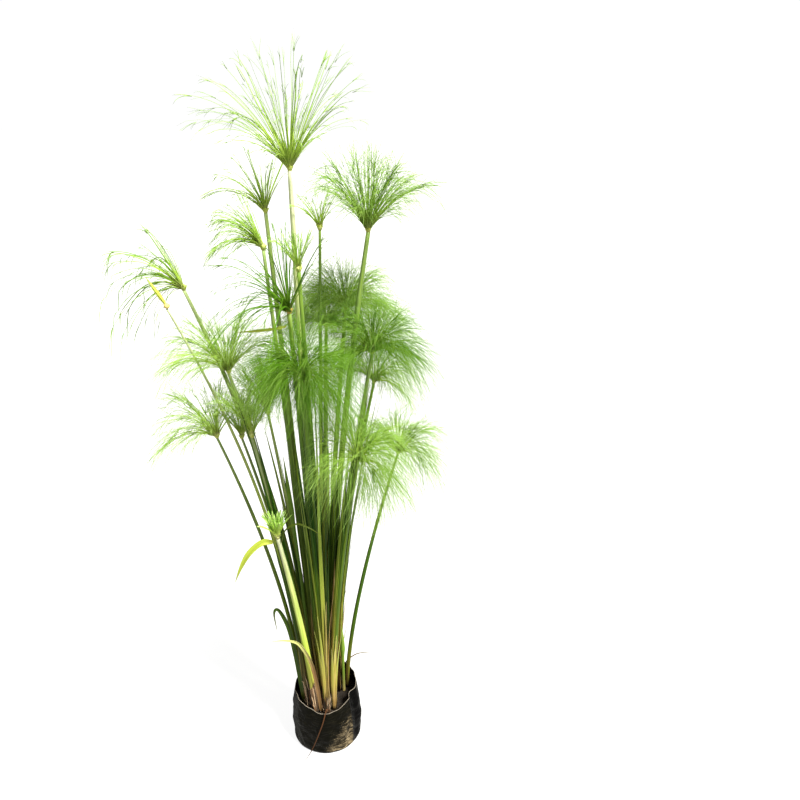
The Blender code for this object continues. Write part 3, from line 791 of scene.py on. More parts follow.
def ray_ends(hub, tips, habit, rng):
    """Where each ray starts on the hub and where it ends, its length and how bold it is.

    Directions fill the cone of the guides, the plain ray tips, evenly: angle = widest * sqrt(share), each
    turned on by the golden angle. The guides near a ray, weighted by exp(focus (cosine - 1)), give its length
    and pull it towards them.
    """
    reach = np.linalg.norm(tips - hub, axis=1)
    aims = (tips - hub) / reach[:, None]
    ahead = unit(aims.mean(axis=0))
    side = unit(np.cross(ahead, [0.0, 1.0, 0.0]))
    widest = np.arccos(np.clip(aims @ ahead, -1, 1)).max()
    count = np.arange(habit.rays)
    opened = (widest * np.sqrt((count + 0.5) / habit.rays))[:, None]
    turned = (count * GOLDEN_ANGLE)[:, None]
    round_way = np.cos(turned) * side + np.sin(turned) * np.cross(ahead, side)
    even = np.cos(opened) * ahead + np.sin(opened) * round_way
    weight = np.exp(GUIDE_FOCUS * (even @ aims.T - 1))
    weight /= weight.sum(axis=1, keepdims=True)
    bunched = rng.random(habit.rays) < habit.bunch
    nearest = weight.argmax(axis=1)
    pull = np.where(bunched, *PULL)[:, None]
    guide = np.where(bunched[:, None], aims[nearest], weight @ aims)
    aim = unit(even * (1 - pull) + unit(guide) * pull)
    free_length = (weight @ reach) * rng.uniform(habit.short, 1.02, habit.rays)
    bunched_length = reach[nearest] * rng.uniform(0.88, 1.0, habit.rays)
    length = np.where(bunched, bunched_length, free_length) * habit.stretch
    stray = rng.normal(0, 1, (habit.rays, 3)) * np.where(bunched, *STRAY)[:, None]
    tip = hub + unit(aim + stray) * length[:, None]
    start = hub + unit(aim + 0.25 * rng.normal(0, 1, aim.shape)) * HUB_RADIUS * 0.75
    return start, tip, length, np.where(bunched, BOLD, 1.0)


print("ray paths ready")

# %% Paths of threads
THREAD_STATIONS = 6
THREAD_CURL = 0.19
PAIR_SPREAD = 0.35  # how far two threads spread, against three or four
FORK_LIMITS = (0.35, 0.95)
HANGS = (0.3, 1.5)  # how far threads hang against the umbel's curl, the least and the most
FANS = (0.15, 0.95)  # how far threads spread from the ray's tip, against what is left of it at the fork


def hermite(first, first_way, last, last_way, shares):
    """The cubic that leaves the first point in one direction and comes to the last in another."""
    s = shares[None, :, None]
    a, b, c, d = (v[:, None] for v in (first, first_way, last, last_way))
    eased = 3 * s**2 - 2 * s**3
    return a + eased * (c - a) + (s**3 - 2 * s**2 + s) * b + (s**3 - s**2) * d


def thread_paths(start, tip, length, habit, name, rng):
    """From each ray's fork, threads that leave along the ray, spread apart and hang at their ends."""
    many = habit.threads
    start, tip, length = (np.repeat(v, many, axis=0) for v in (start, tip, length))
    fork = np.clip(habit.fork + rng.normal(0, 0.05, habit.rays), *FORK_LIMITS).repeat(many)
    probe = arched(start, tip, np.stack([fork, fork + 0.02], 1))
    leave = unit(probe[:, 1] - probe[:, 0])
    rest = (1 - fork) * length
    down = np.array([0, 0, -1.0]) * (habit.curl * length * rng.uniform(*HANGS, len(fork)))[:, None]
    fan = rng.normal(0, 1, start.shape)
    fan -= (fan * leave).sum(1, keepdims=True) * leave
    reach = rest * rng.uniform(*FANS, len(fork)) * (PAIR_SPREAD if many == 2 else 1)
    end = held(tip + unit(fan) * reach[:, None] + down, name)
    curly = THREAD_CURL * (many - 1) * rest[:, None]
    arrive = (end - probe[:, 0]) * 0.7 + 1.6 * down + curly * rng.normal(0, 1, start.shape)
    shares = np.linspace(0, 1, THREAD_STATIONS)
    paths = hermite(probe[:, 0], leave * rest[:, None], end, arrive, shares)
    return paths, fork[:, None] + (1 - fork[:, None]) * shares


print("thread paths ready")

# %% Hub, bracts and bud
RAY_THICK = 0.00066
THREAD_THICK = 0.00037
HUB_ROWS = 9
HUB_SIDES = 16
HUB_HEIGHT = 0.9  # against its radius
BRACTS = 7
BRACTS_APART = 2 * np.pi / BRACTS
BRACT_STATIONS = 7
BRACT_HALF_WIDTH = 0.0030
SHUT_UMBEL = "05"
BUD_STATIONS = 12
BUD_BULGE = 0.0034


def make_hub(hub, tint, husk, seed):
    """A knobbly button: rings of a sphere, a little flattened, pushed in and out by lumps."""
    up = np.linspace(-1.3, 1.3, HUB_ROWS)[:, None]
    ball = level(np.cos(up), turns(HUB_SIDES)) + (np.sin(up) * HUB_HEIGHT)[..., None] * [0, 0, 1]
    ball = ball * (1 + 0.12 * lumps(ball, 0.5, seed))[..., None]
    poles = hub + np.array([[0, 0, -1], [0, 0, 1]]) * HUB_HEIGHT * HUB_RADIUS
    return closed_rings(hub + HUB_RADIUS * ball, *poles, np.full(HUB_ROWS, 0.02), tint, husk)


def make_bracts(hub, habit, rng):
    """Small pointed bracts below the hub: up and outwards first, then bent away, flat across."""
    out = level(np.ones(BRACTS), BRACTS_APART * np.arange(BRACTS) + rng.uniform(0, 0.5, BRACTS))
    share = np.linspace(0, 1, BRACT_STATIONS)[:, None]
    long = rng.uniform(0.012, 0.024, (BRACTS, 1, 1)) * (1 if habit.threads else 2)
    lift = 0.85 if habit.threads else 0.95
    rise = np.array([0, 0, 1.0]) * (lift * share - 0.25 * share**2)
    away = 0.0035 + long * (1.05 - lift) * 1.6 * share**1.3
    paths = hub - [0, 0, 0.007] + out[:, None] * away + long * rise
    each = np.ones((BRACTS, 1))
    radii = BRACT_HALF_WIDTH * np.sin(np.pi * (0.22 + 0.78 * share[:, 0])) * each
    tint = min(habit.tint + 0.25, 1)
    return tubes(paths, radii, 8, 0.6 * share[:, 0] * each, tint, 0.25 + 0.6 * habit.pale, 0.22)


def make_bud(hub, tips, habit, rng):
    """A shut umbel: centre = a point up its axis + a bulge times sin(pi share^0.7), so the bracts meet."""
    ahead = (tips.mean(axis=0) - hub) * 1.05
    side = unit(np.cross(ahead, [0.0, 1.0, 0.0]))
    turn = np.arange(habit.rays) * GOLDEN_ANGLE
    out = np.cos(turn)[:, None] * side + np.sin(turn)[:, None] * unit(np.cross(ahead, side))
    share = np.linspace(0, 1, BUD_STATIONS)
    reach = rng.uniform(0.86, 1.0, habit.rays)
    bulge = BUD_BULGE * np.sin(np.pi * share**0.7)
    paths = hub + (reach[:, None] * share)[..., None] * ahead + bulge[:, None] * out[:, None]
    each = np.ones((habit.rays, 1))
    radii = habit.thick * RAY_THICK * np.sin(np.pi * (0.14 + 0.86 * share)) * each
    tints = np.clip(habit.tint + rng.normal(0, 0.1, habit.rays), 0, 1)
    return tubes(paths, radii, 8, share * each, tints, habit.pale * rng.random(habit.rays), 0.5)


print("hub of", 2 * HUB_RADIUS, "m with", BRACTS, "bracts")

# %% Make the umbels
RAY_STATIONS = 10
TINT_SPREAD = 0.15
SWAY = 0.012  # how far a ray wavers, as a share of its length
RAY_TAPER = 0.55
FOOT_SWELL = 1.1  # how much thicker a ray is where it leaves the hub


def make_rays(start, tip, length, bold, habit, rng):
    """Arched tubes that waver towards their tips, flat if they have no threads, and each ray's tint."""
    shares = np.broadcast_to(np.linspace(0, 1, RAY_STATIONS), (habit.rays, RAY_STATIONS))
    way = rng.normal(0, 1, (habit.rays, 1, 3))
    wave = np.sin(2.2 * np.pi * shares + 6 * rng.random((habit.rays, 1))) * shares**1.5
    paths = arched(start, tip, shares) + SWAY * length[:, None, None] * way * wave[..., None]
    swell = 1 + FOOT_SWELL * np.exp(-((shares / 0.05) ** 2))
    own = (bold * rng.uniform(0.5, 1.3, habit.rays))[:, None]
    radii = habit.thick * RAY_THICK * (1 - RAY_TAPER * shares) * swell * own
    tints = np.clip(habit.tint + rng.normal(0, TINT_SPREAD, habit.rays), 0, 1)
    sides, flat = (3, 1.0) if habit.threads else (6, 0.4)
    return tubes(paths, radii, sides, shares, tints, 0.0, flat), tints


def make_threads(start, tip, length, bold, tints, habit, name, rng):
    """Thin tubes along the thread paths, each with its ray's tint."""
    paths, along = thread_paths(start, tip, length, habit, name, rng)
    wide = THREAD_THICK * np.repeat(habit.thick * bold, habit.threads)[:, None]
    radii = wide * np.linspace(1.0, 0.45, THREAD_STATIONS)
    return tubes(paths, radii, 3, along, np.repeat(tints, habit.threads))


def make_umbel(number, order):
    """Hub, rays, bracts and threads of one umbel, or the hub and the bud of the shut one."""
    name, habit = "umbel_" + number, GROWTHS[number]
    rng = np.random.default_rng(500 + order)
    hub = lines[number][0][-1] + [0, 0, HUB_RISE]
    if number == SHUT_UMBEL:
        return joined(make_hub(hub, habit.tint, habit.pale, order), make_bud(hub, ray_tips(name), habit, rng))
    start, tip, length, bold = ray_ends(hub, ray_tips(name), habit, rng)
    tip = held(tip, name)
    rays, tints = make_rays(start, tip, length, bold, habit, rng)
    parts = [make_hub(hub, habit.tint, habit.pale * 0.6, order), rays, make_bracts(hub, habit, rng)]
    if habit.threads:
        parts.append(make_threads(start, tip, length, bold, tints, habit, name, rng))
    return joined(*parts)


umbel_triangles = 0
for order, number in enumerate(lines):
    patch = make_umbel(number, order)
    make_piece("mop_" + number, patch, RAY_FINISH, "umbel", "umbel_" + number)
    umbel_triangles += triangle_count(patch)
print(len(lines), "umbels,", umbel_triangles, "triangles")

# %% [markdown]
# ## The bag
# The planter bag is thin black polythene. It stands round and full, draws in at the mouth and is lowest in
# front. Film keeps every crease it has had: sharp little ridges in all directions, soft folds below the
# drawn-in rim, and a gusset fold up its right side with a hollow beside it. A cloth simulation could
# crumple it, but not in the same places each time it is changed. Here all folds are added to the bag's
# plain radius, on a fine grid of turn and height, because a bump in the material alone would leave the
# outline smooth.

# %% Bag shape
BAG_RADIUS = 0.089
BAG_OVAL = 1.03
MOUTH_RADIUS = 0.0790
RIM_FRONT = 0.138
RIM_BACK = 0.182
SOIL_TOP = 0.120
FOOT_ROUND = 0.014
FOOT_TUCK = 0.008
FILM = 0.0009
BAG_SIDES = 288
RIM_WAVE = 0.0025
DRAW_START = 0.45  # share of the rim's height at which the bag begins to draw in
FIVE_FOLDS, NINE_FOLDS = 0.0016, 0.0010
FOLDS_FULL = 0.05  # height at which the slow folds have their full depth


def rim_height(turn):
    """High at the back and the sides, dipping in front, with three slow waves."""
    front = (0.5 - 0.5 * np.sin(turn)) ** 2
    return RIM_BACK + (RIM_FRONT - RIM_BACK) * front + RIM_WAVE * np.cos(3 * turn + 1.0)


def full_radius(turn, z):
    """The filled bag: an even belly, drawn in at the mouth and tucked in at the foot, with slow folds."""
    draw = np.clip((np.clip(z / rim_height(turn), 0, 1) - DRAW_START) / (1 - DRAW_START), 0, 1)
    corner = np.clip(1 - z / FOOT_ROUND, 0, 1)
    belly = BAG_RADIUS + (MOUTH_RADIUS - BAG_RADIUS) * draw**1.6 - FOOT_TUCK * (1 - np.sqrt(1 - corner**2))
    folds = FIVE_FOLDS * np.cos(5 * turn + 0.6) + NINE_FOLDS * np.cos(9 * turn + 2.0)
    return belly + folds * np.clip(z / FOLDS_FULL, 0.15, 1)


print("front rim", RIM_FRONT, "m, back rim", RIM_BACK, "m")

# %% Creases of the film
GUSSET_TURN = np.radians(-36)
GUSSET_RIDGE, RIDGE_WIDE = 0.0026, 0.06
GUSSET_HOLLOW, HOLLOW_BESIDE, HOLLOW_WIDE = 0.0078, 0.22, 0.15
CREASES = 16
CREASE_DEPTH = 0.030  # against a crease's length
CREASE_LENGTHS = (0.016, 0.055)
MEAN_RIDGE = 0.64  # the mean of |sin|, so that creases neither swell nor shrink the bag
PULLED_DEPTH = 0.0007
CALM_TOP = 0.72  # share of the rim's height above which creases fade and pulled folds begin


def creased(turn, z):
    """Creases: ridges |sin| in many directions, pulled folds at the rim, and a gusset with its hollow."""
    rng = np.random.default_rng(31)
    place = np.stack([BAG_RADIUS * np.cos(turn), BAG_RADIUS * np.sin(turn), z], -1)
    patchy = 0.55 + 0.45 * lumps(place, 0.05, 3)
    bent = 1.4 * lumps(place, 0.04, 7)
    top = np.clip((z / rim_height(turn) - CALM_TOP) / (1 - CALM_TOP), 0, 1)
    total = np.zeros_like(turn)
    for _ in range(CREASES):
        way = rng.normal(0, 1, 3)
        way /= np.linalg.norm(way)
        length = rng.uniform(*CREASE_LENGTHS)
        ridge = np.abs(np.sin(np.pi * (place @ way) / length + rng.uniform(0, 6) + bent))
        total = total + CREASE_DEPTH * length * (ridge - MEAN_RIDGE)
    pulled = PULLED_DEPTH * top * np.sin(17 * turn + 2.2 * lumps(place, 0.06, 5))
    off = (turn - GUSSET_TURN + np.pi) % (2 * np.pi) - np.pi
    ridge = GUSSET_RIDGE * np.exp(-((off / RIDGE_WIDE) ** 2))
    gusset = ridge - GUSSET_HOLLOW * np.exp(-(((off - HOLLOW_BESIDE) / HOLLOW_WIDE) ** 2))
    folded = total * patchy * (1 - 0.7 * top) + gusset * np.clip(z / 0.03, 0, 1)
    return folded * np.clip(z / 0.012, 0.12, 1) + pulled


def bag_ring(turn, z, inset):
    """One ring of the bag's skin at the heights z, inset from the outside."""
    wide = full_radius(turn, z) + creased(turn, z) - inset
    return np.stack([wide * BAG_OVAL * np.cos(turn), wide / BAG_OVAL * np.sin(turn), z], -1)


print(CREASES, "creases between", *CREASE_LENGTHS, "m long")

# %% [markdown]
# ## The film's finish
# Black polythene is glossy where it is clean. Dried soil clings to this one low on the right, in slanted
# streaks that stop at the gusset fold, and the lightest streaks are partly painted highlight. Past the fold
# the film is painted near black, a painted shade where the fold recedes into shadow. The pale edge of the
# rim is a painted highlight. Soil dust is an effect that the dry sheaths need too, so it is a node group,
# which one material after another can use. How much dust there is comes from the place: it grows in one
# direction, to the right, the front and down, and its painted highlight grows with it.

# %% Node group for dust


def clinging_dust():
    """A group that gives a mask of dusty patches: coarse noise + fine noise + Amount, spread to 0..1."""
    group = bpy.data.node_groups.new("clinging_dust", "ShaderNodeTree")
    group.interface.new_socket("Amount", in_out="INPUT", socket_type="NodeSocketFloat")
    group.interface.new_socket("Mask", in_out="OUTPUT", socket_type="NodeSocketFloat")
    source = group.nodes.new("NodeGroupInput")
    result = group.nodes.new("NodeGroupOutput")
    place = node(group, "TexCoord").outputs["Object"]
    coarse = noise(group, place, 34.0, 5.0, Roughness=0.65)
    both = combined(group, "ADD", coarse, noise(group, place, 420.0, 4.0))
    raised = combined(group, "ADD", both, source.outputs["Amount"])
    group.links.new(spread(group, raised, 0.95, 1.75), result.inputs["Mask"])
    return group


CLINGING_DUST = clinging_dust()


def add_dust(tree, amount):
    """The dust mask, with a link or a number for its amount."""
    made = tree.nodes.new("ShaderNodeGroup")
    made.node_tree = CLINGING_DUST
    if isinstance(amount, bpy.types.NodeSocket):
        tree.links.new(amount, made.inputs["Amount"])
    else:
        made.inputs["Amount"].default_value = amount
    return made.outputs["Mask"]


print("group", CLINGING_DUST.name, "with", len(CLINGING_DUST.nodes), "nodes")

# %% The film
STREAK_SLANT = np.radians(35)
FOLD_BLEND = 0.03  # half the angle over which dusty film turns to painted shade at the gusset fold, in radians
DUST_AND_HIGHLIGHT_GROW = (8.5, -6.5, -3.0)  # the direction in which dust and its painted highlight grow, with their strength to a metre


def make_film_finish():
    """Black gloss film, dusty in slanted streaks up to the gusset fold, with painted light and shade.

    The lightest dust streaks are partly painted highlight, the film past the fold is painted shade, and the
    rim's pale edge is a painted highlight.
    """
    material, tree, skin = start_material("black_film")
    place = node(tree, "TexCoord").outputs["Object"]
    toward = node(tree, "VectorMath", {0: place, 1: DUST_AND_HIGHLIGHT_GROW}, operation="DOT_PRODUCT").outputs["Value"]
    apart = node(tree, "SeparateXYZ", {"Vector": place}).outputs
    turn = combined(tree, "ARCTAN2", apart["Y"], apart["X"])
    # 1 before the gusset fold, 0 past it, where the film is painted near black as painted shade
    before = spread(tree, turn, GUSSET_TURN - FOLD_BLEND, GUSSET_TURN + FOLD_BLEND, 1.0, 0.0)
    slanted = node(
        tree, "Mapping", {"Vector": place, "Rotation": (0, -STREAK_SLANT, 0), "Scale": (0.12, 0.5, 1.0)},
    ).outputs[0]
    streaks = noise(tree, slanted, 210.0, 5.0)
    dust = add_dust(tree, spread(tree, toward, 0.45, 0.95, -0.32, 0.62))
    # Where the dust lies in streaks it is partly painted highlight, brightest to the right and the front.
    dust_and_highlight_mask = combined(tree, "MULTIPLY", dust, spread(tree, streaks, 0.38, 0.60, 0.25, 1.0))
    dust = combined(tree, "MULTIPLY", dust_and_highlight_mask, before)
    bent = mixed(tree, 0.06, (0, 0, 0), noise(tree, place, 45.0, 2.0, "Color"))
    moved = combined(tree, "ADD", place, bent, "VectorMath")
    facets = node(tree, "TexVoronoi", {"Vector": moved, "Scale": 60.0}).outputs["Distance"]
    worn = mixed(tree, spread(tree, streaks, 0.50, 0.75), (0.0034, 0.0031, 0.0015), (0.012, 0.0105, 0.0055))
    # Past the fold the film is painted near black: painted shade where the fold recedes into shadow.
    film = mixed(tree, before, (0.0003, 0.0003, 0.0003), worn)
    # The light end of this dust colour is partly painted highlight, standing in for streaky glints low on the
    # right.
    dusty = mixed(tree, spread(tree, streaks, 0.38, 0.66), (0.10, 0.078, 0.043), (0.60, 0.47, 0.28))
    film_with_dust_and_painted_light = mixed(tree, dust, film, dusty)
    # The rim's pale edge is a painted highlight, where the cut edge of the film catches the light.
    lip = spread(tree, attribute(tree, "along"), 0.993, 0.999, 0.0, 0.9)
    colour = mixed(tree, lip, film_with_dust_and_painted_light, (0.34, 0.30, 0.24))
    dress(tree, skin, colour, combined(tree, "ADD", spread(tree, streaks, 0.3, 0.7, 0.16, 0.26), dust), 0.09)
    height = combined(tree, "ADD", facets, combined(tree, "MULTIPLY", streaks, before))
    raise_lines(tree, skin, height, 0.55, 0.0022)
    return material


FILM_FINISH = make_film_finish()
print(FILM_FINISH.name, "has", len(FILM_FINISH.node_tree.nodes), "nodes")

# %% Make the bag
OUTER_SHARES = np.linspace(0, 1, 110) ** 1.15
INNER_SHARES = np.linspace(1, 0, 40)
BASE_SHARES = np.linspace(0.1, 0.95, 8)
FLOOR_SHARES = np.linspace(0.9, 0.1, 6)
BAG_FLOOR = 0.004  # height of the inside's floor, which the mix hides


def make_bag():
    """Up the outside from the middle of the base, over the thin rim, and down the inside to the floor."""
    turn = turns(BAG_SIDES)
    rim = rim_height(turn)
    base = BASE_SHARES[:, None, None] * bag_ring(turn, 0 * turn, 0.0)
    outside = [bag_ring(turn, share * rim, 0.0) for share in OUTER_SHARES]
    lip = [bag_ring(turn, rim + 0.0003, FILM * 0.5)]
    inside = [bag_ring(turn, (rim - BAG_FLOOR) * share + BAG_FLOOR, FILM) for share in INNER_SHARES]
    inner = FLOOR_SHARES[:, None, None] * (inside[-1] * [1, 1, 0]) + [0, 0, BAG_FLOOR]
    rings = np.concatenate([base, outside, lip, inside, inner])
    share = np.concatenate([0 * BASE_SHARES, OUTER_SHARES, [1.0], INNER_SHARES, 0 * FLOOR_SHARES])
    return closed_rings(rings, (0, 0, 0), (0, 0, BAG_FLOOR), share, 0.0)


bag_patch = make_bag()
make_piece("bag_film", bag_patch, FILM_FINISH, "black_polythene", "planter_bag")
print("bag", triangle_count(bag_patch), "triangles")

# %% [markdown]
# ## The potting mix
# The mix is dark bark and peat. Its top is lumpy at three sizes, and loose chips lie on it. A displacement
# could roughen a plain disc, but the rings of the bag are there already, so the mix is a stack of them,
# shrunk to fit. Only the top shows, so most rings go there.

# %% The mix's finish


def make_mix_finish():
    """Damp peat, nearly black, with a few lighter bark flecks."""
    material, tree, skin = start_material("peat_mix")
    place = node(tree, "TexCoord").outputs["Object"]
    grit = noise(tree, place, 330.0, 5.0, Roughness=0.7)
    flecks = node(tree, "TexVoronoi", {"Vector": place, "Scale": 240.0}).outputs["Distance"]
    peat = ramp(
        tree, grit,
        (0.3, (0.004, 0.0025, 0.001)), (0.6, (0.014, 0.009, 0.004)), (0.8, (0.045, 0.028, 0.013)),
    )
    bark = mixed(tree, spread(tree, flecks, 0.12, 0.02), peat, (0.10, 0.060, 0.030))
    colour = mixed(tree, attribute(tree, "husk"), bark, (0.055, 0.030, 0.013))
    dress(tree, skin, colour, spread(tree, grit, 0.3, 0.7, 0.75, 0.98))
    raise_lines(tree, skin, grit, 0.8, 0.0015)
    return material


MIX_FINISH = make_mix_finish()
print(MIX_FINISH.name, "has", len(MIX_FINISH.node_tree.nodes), "nodes")

# %% Make the potting mix
MIX_SIDES = 192
MIX_BOTTOM = 0.0055
MIX_INSET = FILM + 0.0006
CHIPS = 420
CHIP_REACH = 0.066
CHIP_LENGTHS, CHIP_RADII = (0.0015, 0.006), (0.0004, 0.0013)
MIX_LUMPS = ((0.0022, 0.016, 11), (0.0013, 0.005, 12), (0.0006, 0.0022, 13))  # height, size and seed


def crumbly(turn, share):
    """A point of the mix's top, at a share of the way out from the middle, raised by lumps."""
    flat = bag_ring(turn, np.full_like(turn, SOIL_TOP), MIX_INSET) * [share, share, 1]
    bumps = sum(high * lumps(flat, size, seed) for high, size, seed in MIX_LUMPS)
    return flat + bumps[:, None] * [0, 0, 1]


def bark_chips(rng):
    """Short fat tapered bits that lie at random on the mix."""
    spot = level(np.sqrt(rng.random(CHIPS)) * CHIP_REACH, rng.uniform(0, 2 * np.pi, CHIPS))
    centre = spot + (SOIL_TOP + rng.uniform(0.0002, 0.0022, CHIPS))[:, None] * [0, 0, 1]
    way = unit(rng.normal(0, 1, (CHIPS, 3)) * [1, 1, 0.25])
    long = rng.uniform(*CHIP_LENGTHS, (CHIPS, 1))
    shares = np.linspace(-0.5, 0.5, 5)
    paths = centre[:, None] + way[:, None] * (long * shares)[..., None]
    taper = np.array([0.5, 1.0, 0.9, 0.7, 0.0])
    radii = rng.uniform(*CHIP_RADII, (CHIPS, 1)) * taper * rng.uniform(0.7, 1.2, (CHIPS, 5))
    return tubes(paths, radii, 5, np.broadcast_to(shares, radii.shape), 0.0, 0.6)


mix_turn = turns(MIX_SIDES)
mix_heights = np.linspace(MIX_BOTTOM, SOIL_TOP, 14)[:-1]
mix_side = [bag_ring(mix_turn, np.full(MIX_SIDES, z), MIX_INSET) for z in mix_heights]
mix_top = [crumbly(mix_turn, share) for share in np.linspace(1, 0.03, 54)]
mix_rings = np.array([mix_side[0] * [0.5, 0.5, 1], *mix_side, *mix_top])
mix_body = closed_rings(mix_rings, (0, 0, MIX_BOTTOM), (0, 0, SOIL_TOP), np.zeros(len(mix_rings)), 0.0)
mix_patch = joined(mix_body, bark_chips(np.random.default_rng(77)))
make_piece("potting_mix_crumbs", mix_patch, MIX_FINISH, "potting_mix", "potting_mix")
print("potting mix", triangle_count(mix_patch), "triangles")

# %% [markdown]
# ## The sheaths at the foot
# Round the front culms the old leaf sheaths have dried to reddish-brown paper, darkest where soil stains
# their foot. They split into fibres, and cream ones lie among the brown. One flat sheet with a picture of
# fibres would look painted, so each sheath is a sleeve with a ragged mouth, like the husks, and seventy
# thin strips that cling to it and come away at the top.

# %% The sheaths' finish


def make_sheath_finish():
    """Dry reddish-brown fibre, cream where tint is high, stained by the soil at its foot and dusty.

    Where husk is high it is nearly black: painted shade for the gaps between the fibres.
    """
    material, tree, skin = start_material("dry_sheath")
    fine, broad = add_lines(tree, 560.0, 26.0)
    brown = ramp(
        tree, fine,
        (0.0, (0.030, 0.008, 0.002)), (0.45, (0.22, 0.080, 0.024)), (1.0, (0.80, 0.48, 0.20)),
    )
    cream = mixed(tree, attribute(tree, "tint"), brown, (1.0, 0.78, 0.50))
    dark = mixed(tree, spread(tree, broad, 0.40, 0.9, 0.0, 0.85), cream, (0.30, 0.20, 0.13), "MULTIPLY")
    stain = spread(tree, attribute(tree, "along"), 0.0, 0.40, 0.90, 0.0)
    stained = mixed(tree, stain, dark, (0.050, 0.022, 0.009))
    dirty = mixed(tree, add_dust(tree, 0.02), stained, (0.03, 0.018, 0.008))
    # A high husk value turns strips nearly black: painted shade for the gaps between the fibres.
    colour = mixed(tree, attribute(tree, "husk"), dirty, (0.012, 0.005, 0.002))
    dress(tree, skin, colour, spread(tree, fine, 0.0, 1.0, 0.7, 0.9))
    raise_lines(tree, skin, fine, 0.6, 0.0006)
    return material


SHEATH_FINISH = make_sheath_finish()
print(SHEATH_FINISH.name, "has", len(SHEATH_FINISH.node_tree.nodes), "nodes")

# %% Make the sheaths
SHEATH_FORMS = {"06": (0.085, 0.030), "13": (0.105, 0.040), "15": (0.070, 0.030), "18": (0.130, 0.045)}
SHEATH_DEPTH = 0.0012
STRIPS = 70
STRIP_HEIGHTS = (0.25, 1.05)  # against the sheath's height
STRIP_STANDS = (0.0005, 0.007)  # how far strips lean out at their tops
STRIP_RADII = (0.0005, 0.0017)
STRIP_SHARES = np.linspace(0, 1, 9)


def loose_strips(number, tall, rng):
    """Thin strips up the outside of a sheath: close to it at first, then leaning away from the culm."""
    turn = rng.uniform(0, 2 * np.pi, STRIPS)
    height = tall * rng.uniform(*STRIP_HEIGHTS, STRIPS)
    centres, radii = up_culm(number, height[:, None] * STRIP_SHARES)
    away = radii + 0.0014 + rng.uniform(*STRIP_STANDS, (STRIPS, 1)) * STRIP_SHARES**2.5
    drift = turn[:, None] + rng.normal(0, 0.25, (STRIPS, 1)) * STRIP_SHARES
    wide = rng.uniform(*STRIP_RADII, (STRIPS, 1)) * (1 - 0.7 * STRIP_SHARES)
    # Some strips get a husk value near 1, which the finish turns nearly black: painted shade between fibres.
    tints, painted_gap_shade = (rng.choice(few, STRIPS) for few in ([0.0, 0.15, 0.85, 1.0], [0.0, 0.0, 0.9, 0.95]))
    along = np.broadcast_to(STRIP_SHARES, wide.shape)
    return tubes(centres + level(away, drift), wide, 5, along, tints, painted_gap_shade)


for order, (number, (tall, slant)) in enumerate(SHEATH_FORMS.items()):
    rings, start, end, climb = husk_rings(number, tall, slant, SHEATH_DEPTH, 40 + order)
    sleeve = closed_rings(rings, start, end, climb, 0.06 * order)
    patch = joined(sleeve, loose_strips(number, tall, np.random.default_rng(60 + order)))
    make_piece("husk_" + number, patch, SHEATH_FINISH, "sheath", "sheath_" + number)
    print("sheath", number, triangle_count(patch), "triangles")

# %% [markdown]
# ## Blades
# A leaf or a bract is a long blade with a shallow V across it. It could be a strip bent by a curve
# modifier, but a strip has no thickness. So its ring is a flat ellipse whose two edges are raised, carried
# along a smooth curve through a few listed points. The same function makes the two dried strands, which
# are narrow blades.

# %% Where the blades lie


class Blade(NamedTuple):
    """A blade's curve, its greatest width, the way it faces, and its look."""

    route: tuple
    width: float
    looks: tuple
    keel: float  # depth of the V, as a share of the half width
    tint: float


GREEN_BLADES = {
    "bract_hanging": Blade(
        ((-0.085, -0.117, 0.692), (-0.109, -0.125, 0.695), (-0.137, -0.130, 0.672), (-0.159, -0.135, 0.635),
         (-0.175, -0.140, 0.597)),
        0.014, (-0.5, -1, 0.5), 0.35, 0.90,
    ),
    "bract_arching": Blade(
        ((-0.066, -0.117, 0.692), (-0.054, -0.125, 0.728), (-0.028, -0.125, 0.744), (0.000, -0.125, 0.733),
         (0.028, -0.125, 0.712)),
        0.005, (0, -0.4, 1), 0.3, 0.15,
    ),
    "leaf_folded": Blade(
        ((-0.0540, -0.0345, 0.122), (-0.0585, -0.0440, 0.210), (-0.064, -0.062, 0.320),
         (-0.074, -0.074, 0.415), (-0.093, -0.078, 0.470), (-0.105, -0.080, 0.462), (-0.100, -0.082, 0.400)),
        0.012, (-0.2, -1, 0.1), 0.4, 0.0,
    ),
    "leaf_level": Blade(
        ((-0.022, -0.129, 1.199), (-0.046, -0.134, 1.195), (-0.086, -0.136, 1.191), (-0.122, -0.138, 1.189)),
        0.006, (0, -1, 0.2), 0.3, 0.5,
    ),
}
DRY_BLADES = {
    "leaf_bent": Blade(
        ((-0.008, -0.060, 0.122), (-0.010, -0.070, 0.200), (-0.020, -0.078, 0.292), (-0.033, -0.082, 0.340),
         (-0.052, -0.084, 0.374), (-0.081, -0.088, 0.386), (-0.120, -0.092, 0.386)),
        0.011, (-0.3, -1, 0.3), 0.35, 1.0,
    ),
    "strand_front": Blade(
        ((0.018, -0.062, 0.122), (0.010, -0.079, 0.152), (-0.002, -0.091, 0.112), (-0.024, -0.096, 0.050),
         (-0.042, -0.102, 0.014), (-0.058, -0.113, 0.003)),
        0.003, (0, -1, 0.1), 0.1, 0.0,
    ),
    "strand_side": Blade(
        ((0.044, 0.034, 0.122), (0.048, 0.037, 0.190), (0.072, 0.046, 0.216), (0.104, 0.050, 0.224),
         (0.173, 0.050, 0.225)),
        0.003, (0, -0.5, 1), 0.1, 0.1,
    ),
}
print(len(GREEN_BLADES), "green blades and", len(DRY_BLADES), "dry ones")

# %% A blade's shape
BLADE_STATIONS = 56
BLADE_SIDES = 16
BLADE_THICK = 0.0006


